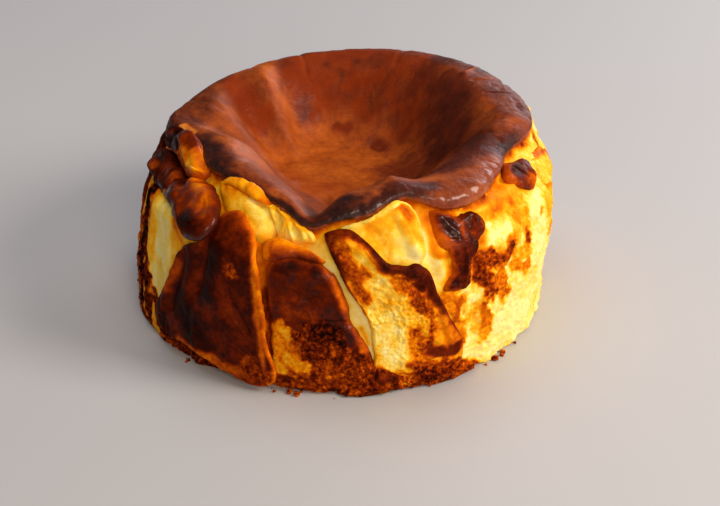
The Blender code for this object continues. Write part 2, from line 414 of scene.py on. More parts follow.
WALL_MARKS = [
    # left of the front, from the rim down
    Mark(-128, 63, -112, 60, 6.0, 0.28, 0.0),
    Mark(-112, 60, -98, 55, 5.0, 0.20, 0.0),
    Mark(-128, 68, -97, 64, 1.6, 0.56, 0.1),
    Mark(-110, 57, -109, 38, 4.0, 0.44, 0.0),
    Mark(-108, 36, -107, 8, 3.5, 0.66, 0.4),
    # near-black foot under the left flap: a dark crumbly base, and painted shade in the gap under the flap
    Mark(-145, 3, -112, 1, 3.4, 0.94, 0.6),
    # the slope between the middle flap and the front flap
    Mark(-95, 54, -80, 14, 6.0, 0.16, 0.0),
    Mark(-93, 52, -86, 38, 2.8, 0.06, 0.0),
    Mark(-86, 38, -80, 15, 2.8, 0.03, 0.0),
    Mark(-84, 27, -82, 20, 0.5, 0.30, 0.0),
    # beside the cream fold and the front flap
    Mark(-68, 66, -65, 44, 4.0, 0.13, 0.0),
    Mark(-66, 58, -62, 40, 3.0, 0.02, 0.0),
    Mark(-64, 44, -60, 32, 2.0, 0.08, 0.0),
    Mark(-64, 64, -63.8, 53, 1.8, 0.42, 0.0),
    Mark(-63, 51.5, -58, 50, 1.3, 0.42, 0.0),
    Mark(-60, 46, -62.5, 36, 1.5, 0.42, 0.1),
    Mark(-54, 47, -53, 34, 2.6, 0.46, 0.3),
    Mark(-62, 33, -54, 32, 2.6, 0.50, 0.4),
    # torn right side
    Mark(-50, 56, 20, 50, 13.0, 0.12, 0.8),
    Mark(-46, 58, -16, 57, 3.4, 0.26, 0.5),
    Mark(-45, 22, 20, 22, 24.0, 0.07, 0.75),
    Mark(-46, 53, -38, 50, 4.5, 0.02, 0.6),
    Mark(-50, 12, -26, 10, 9.0, 0.02, 0.6),
    Mark(-24, 50, -16, 16, 4.5, 0.02, 0.6),
    Mark(-45, 34, -41, 25, 2.6, 0.32, 0.8),
    Mark(-49, 24, -47, 12, 2.6, 0.40, 0.8),
    Mark(-37, 54, -35, 45, 2.0, 0.22, 0.7),
    Mark(-38, 26, -30, 20, 4.0, 0.02, 0.6),
    Mark(-40, 47, -36, 40, 3.0, 0.30, 0.8),
    Mark(-51, 45, -43, 43, 4.5, 0.60, 0.9),
    Mark(-50, 39, -46, 30, 4.5, 0.64, 0.9),
    Mark(-44, 36, -41, 28, 3.5, 0.46, 0.9),
    Mark(-38, 36, -30, 32, 2.6, 0.42, 0.8),
    Mark(-30.5, 52, -32.5, 37, 2.8, 0.36, 0.7),
    Mark(-30.4, 51, -31, 43, 1.7, 0.74, 0.6),
    Mark(-20, 56, -22, 48, 1.0, 0.44, 0.8),
    Mark(-41, 59, -33, 57.5, 1.9, 0.50, 0.5),
    Mark(-36, 56, -30, 49, 2.4, 0.32, 0.6),
    Mark(-60, 33, -56, 15, 3.4, 0.42, 0.6),
    Mark(-57, 33, -58, 24, 2.0, 0.52, 0.7),
    Mark(-52, 27, -51, 16, 2.4, 0.24, 0.6),
    Mark(-49, 60.5, -28, 60.5, 2.6, 0.34, 0.1),
    Mark(-48.5, 61.5, -44.5, 61, 1.6, 0.10, 0.1),
    Mark(-24, 54, -19, 53, 2.6, 0.04, 0.6),
    Mark(-52, 63.5, -44, 62, 1.4, 0.30, 0.0),
    Mark(-27, 64.5, -10, 64, 2.6, 0.14, 0.3),
    Mark(-24, 66, -14, 66, 1.6, 0.42, 0.1),
    Mark(-12, 52, 4, 46, 2.5, 0.40, 0.6),
    Mark(-12, 34, 2, 30, 2.5, 0.34, 0.7),
    Mark(-57, 4, -51, 2, 2.6, 0.60, 1.0),
    # the skin around the dark fold
    Mark(-60, 60, -50, 55, 4.6, 0.38, 0.0),
    Mark(-57, 50, -58.5, 38, 2.6, 0.40, 0.0),
    # crumbs baked dark along the front of the foot
    Mark(-108, 2, -82, 2, 2.8, 0.78, 1.0),
    Mark(-82, 3, -57, 2.5, 3.6, 0.72, 1.0),
    # smooth left panel and its crumbly edge
    Mark(-150, 55, -147, 20, 9.0, 0.05, 0.0),
    Mark(-157, 56, -154, 30, 1.8, 0.20, 0.2),
    Mark(-144, 54, -137, 46, 1.6, 0.36, 0.0),
    Mark(-168, 52, -165, 4, 7.5, 0.92, 1.0),
    Mark(-160, 30, -154, 4, 3.6, 0.80, 0.9),
    Mark(-161, 54, -160, 40, 1.6, 0.40, 0.5),
    Mark(-151, 14, -147, 8, 4.0, 0.72, 0.8),
    # the left side and the back
    Mark(-176, 50, 178, 10, 9.0, 0.24, 0.3),
    Mark(-172, 58, 170, 58, 3.0, 0.60, 0.2),
    Mark(-170, 30, -168, 8, 4.0, 0.58, 0.7),
    Mark(137, 56, 137, 8, 4.0, 0.42, 0.3),
    Mark(136, 28, 138, 6, 2.6, 0.68, 0.8),
    Mark(104, 56, 108, 8, 4.5, 0.38, 0.1),
    Mark(107, 30, 105, 6, 2.4, 0.66, 0.7),
    Mark(64, 50, 52, 8, 4.6, 0.38, 0.3),
    Mark(58, 24, 60, 3, 3.2, 0.62, 0.8),
    Mark(51, 40, 56, 30, 2.0, 0.50, 0.6),
    Mark(2, 50, 20, 46, 8.0, 0.22, 0.6),
    Mark(-14, 46, 2, 38, 6.0, 0.20, 0.7),
    Mark(-2, 24, 12, 18, 6.0, 0.26, 0.7),
    Mark(14, 42, 19, 10, 3.6, 0.46, 0.8),
    Mark(20, 36, 19, 16, 2.6, 0.68, 0.8),
    Mark(5, 12, 14, 8, 3.0, 0.50, 0.9),
    Mark(8, 58, 22, 56, 2.6, 0.44, 0.2),
    Mark(60, 63, 110, 63, 2.4, 0.46, 0.1),
    Mark(130, 63, 170, 61, 2.4, 0.50, 0.1),
    Mark(16, 63, 48, 62, 2.2, 0.42, 0.2),
]
FOOT_MARKS = [Mark(a, 1.5, a + 24, 1.5, 1.6 + 1.4 * (i % 3), 0.62 + 0.1 * (i % 2), 1.0)
              for i, a in enumerate(range(-176, 180, 30)) if not -60 < a < 0]


LIP_SCORCH = 4.5         # the custard is browned this far below the crust
LIP_BAKE = 0.58


def body_ground(angle, level):
    bake, crumb = painted(angle, level, (0.22, 0.25), WALL_MARKS + FOOT_MARKS)
    under_lip = top_point(angle, 1.0)[1] - level
    places = np.stack([arc(angle, -90.0), level, np.zeros_like(angle)], axis=-1)
    scorched = ease(1.0 - (under_lip + 1.2 * lumps(places, 5.0, 35)) / LIP_SCORCH)
    return np.maximum(bake, LIP_BAKE * scorched + bake * (1.0 - scorched)), crumb


# %% Spin the body
BODY_STEPS = 700
WALL_RINGS = 100
LID_RINGS = 7
LID_DEPTH = 3.0
BODY_TEAR = 1.4          # strength of the torn relief on the body
BODY_UNEVEN = 0.45       # mm of soft unevenness


def lid_point(angle, share, depth):
    """Points under the crust, which meet the crease at the edge."""
    crease_radius, crease_level = top_point(angle, 1.0)
    under = top_point(angle, share * (1.0 - ROLL_SHARE))[1] - depth
    return share * crease_radius, blend(crease_level, under, ease((1.0 - share) / 0.12))


def place_body(drum):
    angle = np.degrees(np.arctan2(drum[:, 1], drum[:, 0]))
    share = np.hypot(drum[:, 0], drum[:, 1])
    height = drum[:, 2]
    crease_radius, crease_level = top_point(angle, 1.0)
    level = height * crease_level
    bake, crumb = body_ground(angle, level)
    plain = on_wall(angle, level, 0.0)
    fade = ease((1.0 - height) / 0.06) * ease(level / 2.0)
    out = crease_rise(angle, level, WALL_CREASES) + BODY_UNEVEN * rough(plain, 14.0, 3, 3)
    torn = BODY_TEAR * crumbled(plain, crumb, 40)
    out += torn
    bake = bake + CRUMB_BAKE * torn * ease(bake / 0.4)
    wall = on_wall(angle, level, out * fade)
    rounded = FOOT_ROUND * (1.0 - np.sqrt(1.0 - (1.0 - np.clip(level / FOOT_ROUND, 0.0, 1.0)) ** 2))
    ragged_foot = (1.3 * lumps(plain, 5.0, 60) + 0.8 * lumps(plain, 2.0, 61)) * ease(1.0 - level / 6.0)
    outward = np.stack([np.cos(np.radians(angle)), np.sin(np.radians(angle)), 0.0 * angle], axis=-1)
    wall += outward * (ragged_foot - rounded)[:, None]
    wall[:, 2] = np.where(height < DRUM_WELD, 0.0, np.maximum(wall[:, 2], 0.05))
    foot = np.hypot(wall[:, 0], wall[:, 1]) * share
    lid_radius, lid_level = lid_point(angle, share, LID_DEPTH)
    inner = share < 1.0 - DRUM_WELD
    radius = np.where(height > 0.5, lid_radius - CREASE_TUCK * share, foot)
    flat_level = np.where(height > 0.5, lid_level, 0.0)
    flat = outward * radius[:, None] + np.array([0.0, 0.0, 1.0]) * flat_level[:, None]
    return np.where(inner[:, None], flat, wall), bake, crumb


section = [(i / LID_RINGS, 1.0) for i in range(LID_RINGS + 1)]
section += [(1.0, 1.0 - i / WALL_RINGS) for i in range(1, WALL_RINGS + 1)]
section += [(share, 0.0) for share in (0.97, 0.8, 0.5, 0.2, 0.0)]
body = spun_drum("custard_body", section, BODY_STEPS)
points, bake, crumb = place_body(read_points(body))
write_points(body, points)
write_values(body, bake=bake, crumb=crumb)
print("body:", len(body.data.polygons), "faces")

# %% [markdown]
# ## The crust
# The burnt top is a skin a few millimetres thick: the dish, the crest and the roll that hangs over the wall.
# It is spun like the body, as a closed shell, and its underside lies inside the body where nobody sees it.
# Its own strokes are placed in plan, x to the right and y to the back.

# %% Strokes on the crust
Wrinkle = namedtuple("Wrinkle", "x y end_x end_y half rise")
Tan = namedtuple("Tan", "x y end_x end_y half bake amber")
CRUST_WRINKLES = [
    Wrinkle(48, 33, 54, 42, 2.2, 0.8),          # raised crease at the back right
    Wrinkle(-9, 38, -3, 37, 2.2, -0.5),
    Wrinkle(13, 27, 16, 25, 2.6, -0.6),
    Wrinkle(40, -4, 56, -10, 2.4, -0.9),
    Wrinkle(38, 1, 60, -2, 1.8, -0.6),
    Wrinkle(42, 8, 58, 6, 1.6, -0.4),
    Wrinkle(28, -8, 44, -16, 3.0, -1.1),
    Wrinkle(61, 41, 65, 33, 0.9, -0.9),         # cracks in the right of the rim
    Wrinkle(67, 17, 69, 7, 0.9, -0.9),
    Wrinkle(58, 27, 63, 22, 0.9, -0.8),
    Wrinkle(52, 28, 64, 32, 1.8, -0.8),
    Wrinkle(56, 18, 66, 20, 1.3, -0.5),
    Wrinkle(-20, -2, -44, -10, 2.6, -0.5),
    Wrinkle(-24, -20, -38, -36, 3.2, -0.6),
    Wrinkle(-12, -24, -17, -48, 3.0, -0.7),
    Wrinkle(-46, 20, -58, 26, 2.4, -0.5),
    Wrinkle(-14, 52, -17, 64, 1.8, -0.5),
    Wrinkle(22, 52, 26, 66, 2.2, -0.4),
    Wrinkle(-60, 2, -46, 6, 2.4, 0.7),
    Wrinkle(10, -34, 18, -52, 3.5, 0.7),
]
CRUST_TANS = [
    Tan(-4, 8, 8, 2, 20.0, 0.42, 0.30),          # floor of the dish
    Tan(-6, 54, 30, 56, 13.0, 0.70, 1.0),        # deep red-brown back wall
    Tan(20, 42, 32, 32, 9.0, 0.70, 0.6),
    Tan(-46, 42, -33, 26, 5.0, 0.70, 1.0),       # dark sides of the back left ridge
    Tan(-20, 56, -13, 40, 6.0, 0.70, 1.0),
    Tan(-32, 52, -23, 36, 2.6, 0.34, 0.3),       # and its lighter top, a painted sheen
    Tan(42, 20, 40, -4, 11.0, 0.78, 0.2),        # dark inner right slope
    Tan(22, 6, 28, -8, 8.0, 0.66, 0.3),
    Tan(34, 40, 44, 30, 6.0, 0.76, 0.4),
    Tan(60, 26, 66, 6, 9.0, 0.66, 0.1),
    Tan(44, 50, 54, 44, 8.0, 0.74, 0.1),
    Tan(53, -14, 38, -38, 7.0, 0.80, 0.2),
    Tan(66, -18, 68, -4, 4.0, 0.46, 0.4),
    Tan(-56, 28, -58, 4, 8.0, 0.68, 0.0),        # dry brown left rim
    # painted sheen: the left slope of the dish is lighter and less red
    Tan(-46, 0, -32, -26, 10.0, 0.46, 0.1),
    Tan(-55, -14, -44, -34, 6.0, 0.80, 0.0),     # burnt edge at the left front
    Tan(-6, -66, 8, -64, 3.4, 0.86, 0.0),        # burnt patches on the front lip
    Tan(20, -60, 34, -54, 4.0, 0.82, 0.2),
    Tan(38, -54, 56, -38, 4.0, 0.52, 0.4),
    Tan(-22, -34, -10, -44, 9.0, 0.56, 0.1),
    Tan(-18, -4, 4, -14, 7.0, 0.44, 0.6),
    Tan(8, -30, 24, -34, 9.0, 0.66, 0.1),
    Tan(-8, -40, -6, -62, 3.5, 0.74, 0.1),
    Tan(-46, 8, -40, 4, 3.0, 0.60, 0.0),
    Tan(49, 35, 53, 41, 0.9, 0.36, 0.1),         # painted highlight along the raised crease's crest
    Tan(-2, 36, 2, 35, 1.6, 0.80, 0.8),          # small scars
    Tan(14, 26, 17, 24, 1.8, 0.80, 0.8),
    Tan(61, 41, 65, 33, 0.7, 0.80, 0.5),
    Tan(67, 17, 69, 7, 0.7, 0.80, 0.5),
    Tan(58, 27, 63, 22, 0.7, 0.80, 0.5),
]
GLOSSY_EDGES = [(-47, 15), (-96, 14), (-140, 24)]            # angle and spread of the oily parts of the edge
RIM_CHARS = [(-112, 18), (-94, 12), (-14, 5), (-164, 24)]    # angle and spread of the darkest edges
RIM_PATCHES = [Tan(-59, 0, -55, -5, 2.2, 0.14, 0.0)]         # where the skin of the left ear is torn off


def crust_rise(x, y, wrinkles):
    rise = np.zeros_like(x)
    for w in wrinkles:
        away = away_from_line(x - w.x, y - w.y, w.end_x - w.x, w.end_y - w.y)
        rise += w.rise * ease(1.0 - away / w.half)
    return rise


CRUST_BAKE = 0.54        # bake and amber of the crust before any stroke
CRUST_AMBER = 0.25
CHARRED = 0.92           # bake of the burnt edge
THIN_BAKE = 0.42         # bake of the thin skin at the edge's underside


def crust_tan(x, y, points, rim):
    """Bake and amber on the crust. rim is 0 in the dish and 1 at the rolled edge."""
    bake = CRUST_BAKE + 0.16 * rough(points, 16.0, 4, 70)
    amber = np.full_like(x, CRUST_AMBER)
    ragged = 2.5 * lumps(points, 9.0, 71) + 1.5 * lumps(points, 3.5, 72)
    for t in CRUST_TANS:
        away = away_from_line(x - t.x, y - t.y, t.end_x - t.x, t.end_y - t.y)
        loose = ragged * min(1.0, t.half / 3.0)
        covered = ease((t.half - away + loose) / (1.1 * t.half + min(1.5, t.half)) + 0.5)
        bake = blend(bake, t.bake, covered)
        amber = blend(amber, t.amber, covered)
    angle = np.degrees(np.arctan2(y, x))
    charred = 0.16 + sum(swell(turn_between(angle, middle), spread) for middle, spread in RIM_CHARS)
    broken = 0.6 * lumps(points, 5.0, 73) + 0.4 * lumps(points, 2.0, 74)
    burnt = np.clip(charred, 0.0, 1.0) * ease((rim - 0.24 + 0.16 * broken) / 0.36)
    bake, amber = blend(bake, CHARRED, burnt), blend(amber, 0.1, burnt)
    thin = 0.85 * ease((rim - 0.80 + 0.16 * broken) / 0.16)
    bake, amber = blend(bake, THIN_BAKE, thin), blend(amber, 0.9, thin)
    amber = amber * (1.0 + 0.7 * lumps(points, 7.0, 75) + 0.5 * lumps(points, 3.0, 76))
    for t in RIM_PATCHES:
        away = away_from_line(x - t.x, y - t.y, t.end_x - t.x, t.end_y - t.y)
        covered = ease((t.half - away + 0.9 * ragged) / (0.6 * t.half) + 0.5)
        bake, amber = blend(bake, t.bake, covered), blend(amber, t.amber, covered)
    return bake, amber


# %% Spin the crust
CRUST_STEPS = 700
DISH_RINGS = 72
ROLL_RINGS = 20
CRUST_DEPTH = 5.5
LIP_RAGGED = 1.1         # mm of ragged relief on the edge at the left front
LIP_UNEVEN = 0.12        # and everywhere
CRACKLE = 0.3            # depth of the edge's cracks in mm


def place_crust(drum):
    angle = np.degrees(np.arctan2(drum[:, 1], drum[:, 0]))
    share = np.hypot(drum[:, 0], drum[:, 1])
    upper = drum[:, 2] > 0.5
    outward = np.stack([np.cos(np.radians(angle)), np.sin(np.radians(angle)), 0.0 * angle], axis=-1)
    radius, level = top_point(angle, share)
    x, y = radius * outward[:, 0], radius * outward[:, 1]
    plain = np.stack([x, y, level], axis=-1)
    rim = np.clip((share - 1.0 + ROLL_SHARE) / ROLL_SHARE, 0.0, 1.0)
    bake, amber = crust_tan(x, y, plain, rim)
    soft = 0.55 * rough(plain, 13.0, 2, 80) + 0.16 * rough(plain, 3.2, 2, 83)
    blisters = 0.5 * ease(1.0 - bubbles(plain, 6.0, 85) / 0.28)
    blisters = blisters * ease((0.5 - rim) / 0.3) * lumps(plain, 8.0, 88)
    crackle = CRACKLE * ease((bubbles(plain, 4.2, 86) - 0.52) / 0.2) * ease(rim / 0.4)
    rise = crust_rise(x, y, CRUST_WRINKLES) + soft + blisters - crackle
    oily = sum(swell(turn_between(angle, middle), spread) for middle, spread in GLOSSY_EDGES)
    gloss = rim * np.clip(oily, 0.0, 1.0)
    crumbly = 1.2 * lumps(plain, 7.0, 90) + 1.0 * lumps(plain, 2.6, 91) + 0.6 * lumps(plain, 1.5, 93)
    ragged = rim ** 2 * crumbly - 0.9 * rim * ease(1.0 - bubbles(plain, 3.6, 92) / 0.45)
    rise += ragged * (LIP_RAGGED * swell(turn_between(angle, -118.0), 36.0) + LIP_UNEVEN)
    fade = ease((1.0 - share) / 0.01)
    turn = radians(ROLL_TURN) * rim
    plain[:, 2] += rise * np.cos(turn) * fade
    plain += outward * (rise * np.sin(turn) * fade)[:, None]
    under_radius, under_level = lid_point(angle, share, CRUST_DEPTH)
    under = outward * under_radius[:, None] + np.array([0.0, 0.0, 1.0]) * under_level[:, None]
    return np.where(upper[:, None], plain, under), bake, amber, rim, gloss


dish_edge = 1.0 - ROLL_SHARE
section = [(dish_edge * i / DISH_RINGS, 1.0) for i in range(DISH_RINGS + 1)]
section += [(dish_edge + ROLL_SHARE * i / ROLL_RINGS, 1.0) for i in range(1, ROLL_RINGS + 1)]
section += [(share, 0.0) for share in (0.97, 0.93, 0.86, 0.7, 0.5, 0.25, 0.0)]
crust = spun_drum("burnt_crust", section, CRUST_STEPS)
points, bake, amber, rim, gloss = place_crust(read_points(crust))
write_points(crust, points)
write_values(crust, bake=bake, amber=amber, rim=rim, gloss=gloss)
print("crust:", len(crust.data.polygons), "faces")

# %% [markdown]
# ## Flaps
# Where the paper overlapped itself, a flap of custard was pressed against the wall. Each flap starts as a UV
# sphere. The sphere's upper side becomes the flap's face, its equator the rounded edge and its lower side the
# back, which is sunk into the body. The outline is a closed smooth curve through a few corner points.

# %% The outline of a flap
Flap = namedtuple("Flap", "middle outline thick lift side edge ground edge_bake creases marks")
OUTLINE_STEPS = 360
FACE_RINGS = 0.70        # share of the sphere's rings that make the face
EDGE_RINGS = 0.86        # and the share where the rounded edge ends
SINK = 1.6               # the back of a flap lies this deep in the wall
THINNEST = 1.1           # and its face stands out at least this much
FLAP_TEAR = 1.25         # strength of the torn relief on a flap
FLAP_UNEVEN = 0.55       # mm of soft unevenness
FLAP_GRAIN = 0.28        # mm of fine grain


def smooth_closed(corners, steps):
    """A closed Catmull-Rom curve through the corners."""
    corners = np.array(corners, float)
    count = len(corners)
    place = np.arange(steps) * count / steps
    index = place.astype(int)
    t = (place - index)[:, None]
    a, b, c, d = (corners[(index + k) % count] for k in (-1, 0, 1, 2))
    curve = 2 * b + (c - a) * t + (2 * a - 5 * b + 4 * c - d) * t ** 2
    return 0.5 * (curve + (3 * b - a - 3 * c + d) * t ** 3)


def outline_reach(flap, direction):
    """How far the outline lies from the flap's middle in a direction, in mm."""
    corners = [(arc(angle, flap.middle[0]), level - flap.middle[1]) for angle, level in flap.outline]
    x, y = smooth_closed(corners, OUTLINE_STEPS).T
    turn = np.arctan2(y, x)
    order = np.argsort(turn)
    return np.interp(direction, turn[order], np.hypot(x, y)[order], period=2 * pi)


def place_flap(flap, ball, seed):
    direction = np.arctan2(ball[:, 1], ball[:, 0])
    ring = np.arccos(np.clip(ball[:, 2], -1.0, 1.0)) / pi
    reach = outline_reach(flap, direction)
    rim_place = np.stack([reach * np.cos(direction), reach * np.sin(direction), 0 * reach + seed], axis=-1)
    reach = reach + 0.5 * lumps(rim_place, 3.5, seed) + 0.25 * lumps(rim_place, 1.3, seed + 1)
    face = np.clip(ring / FACE_RINGS, 0.0, 1.0)
    bend = 0.5 * pi * np.clip((ring - FACE_RINGS) / (EDGE_RINGS - FACE_RINGS), 0.0, 1.0)
    back = np.clip((ring - EDGE_RINGS) / (1.0 - EDGE_RINGS), 0.0, 1.0)
    edge = np.minimum(flap.edge, 0.8 * reach)
    out = (face * (reach - edge) + edge * np.sin(bend)) * (1.0 - back)
    x, y = out * np.cos(direction), out * np.sin(direction)
    angle = flap.middle[0] + np.degrees(x / FOOT_RADIUS)
    level = np.maximum(flap.middle[1] + y, 0.1)
    bake, crumb = painted(angle, level, flap.ground, flap.marks)
    lean = (x * cos(radians(flap.side)) + y * sin(radians(flap.side))) / reach.mean()
    stand = flap.thick + flap.lift * lean
    plain = on_wall(angle, level, stand)
    torn = FLAP_TEAR * crumbled(plain, crumb, seed + 20)
    bake = bake + CRUMB_BAKE * torn * ease(bake / 0.4)
    relief = crease_rise(angle, level, flap.creases) + FLAP_UNEVEN * rough(plain, 10.0, 3, seed + 2)
    relief += torn + FLAP_GRAIN * rough(plain, 2.8, 2, seed + 4)
    top = np.maximum(stand + relief * np.cos(bend), THINNEST)
    height = blend(top - edge * (1.0 - np.cos(bend)), -SINK, ease(back / 0.4))
    # The raised side's edge takes the edge colour: browning on most flaps, a painted rim light where it is
    # paler.
    rimmed = ease(1.0 - (reach - out) / (1.4 * edge)) * ease(0.6 + lean)
    bake = blend(bake, flap.edge_bake, rimmed * (1.0 - ease(back / 0.2)))
    return on_wall(angle, level, height), bake, crumb


def make_flap(name, flap, around, rings, seed):
    bm = bmesh.new()
    bmesh.ops.create_uvsphere(bm, u_segments=around, v_segments=rings, radius=1.0)
    bmesh.ops.recalc_face_normals(bm, faces=bm.faces)
    piece = finished_object(name, bm)
    points, bake, crumb = place_flap(flap, read_points(piece), seed)
    write_points(piece, points)
    write_values(piece, bake=bake, crumb=crumb, gloss=GLOSS.get(name, DULL) * ease(1.0 - crumb / 0.3))
    return piece


# %% [markdown]
# ## The flaps of this cake
# Each flap has its middle, outline corners, thickness, a lift towards one side, the radius of its edge, its
# ground bake and crumb, the colour of its raised edge, and its own creases and marks. That edge colour is
# browning on most flaps, and a paler painted rim light on the left flap, the middle flap and the middle roll.

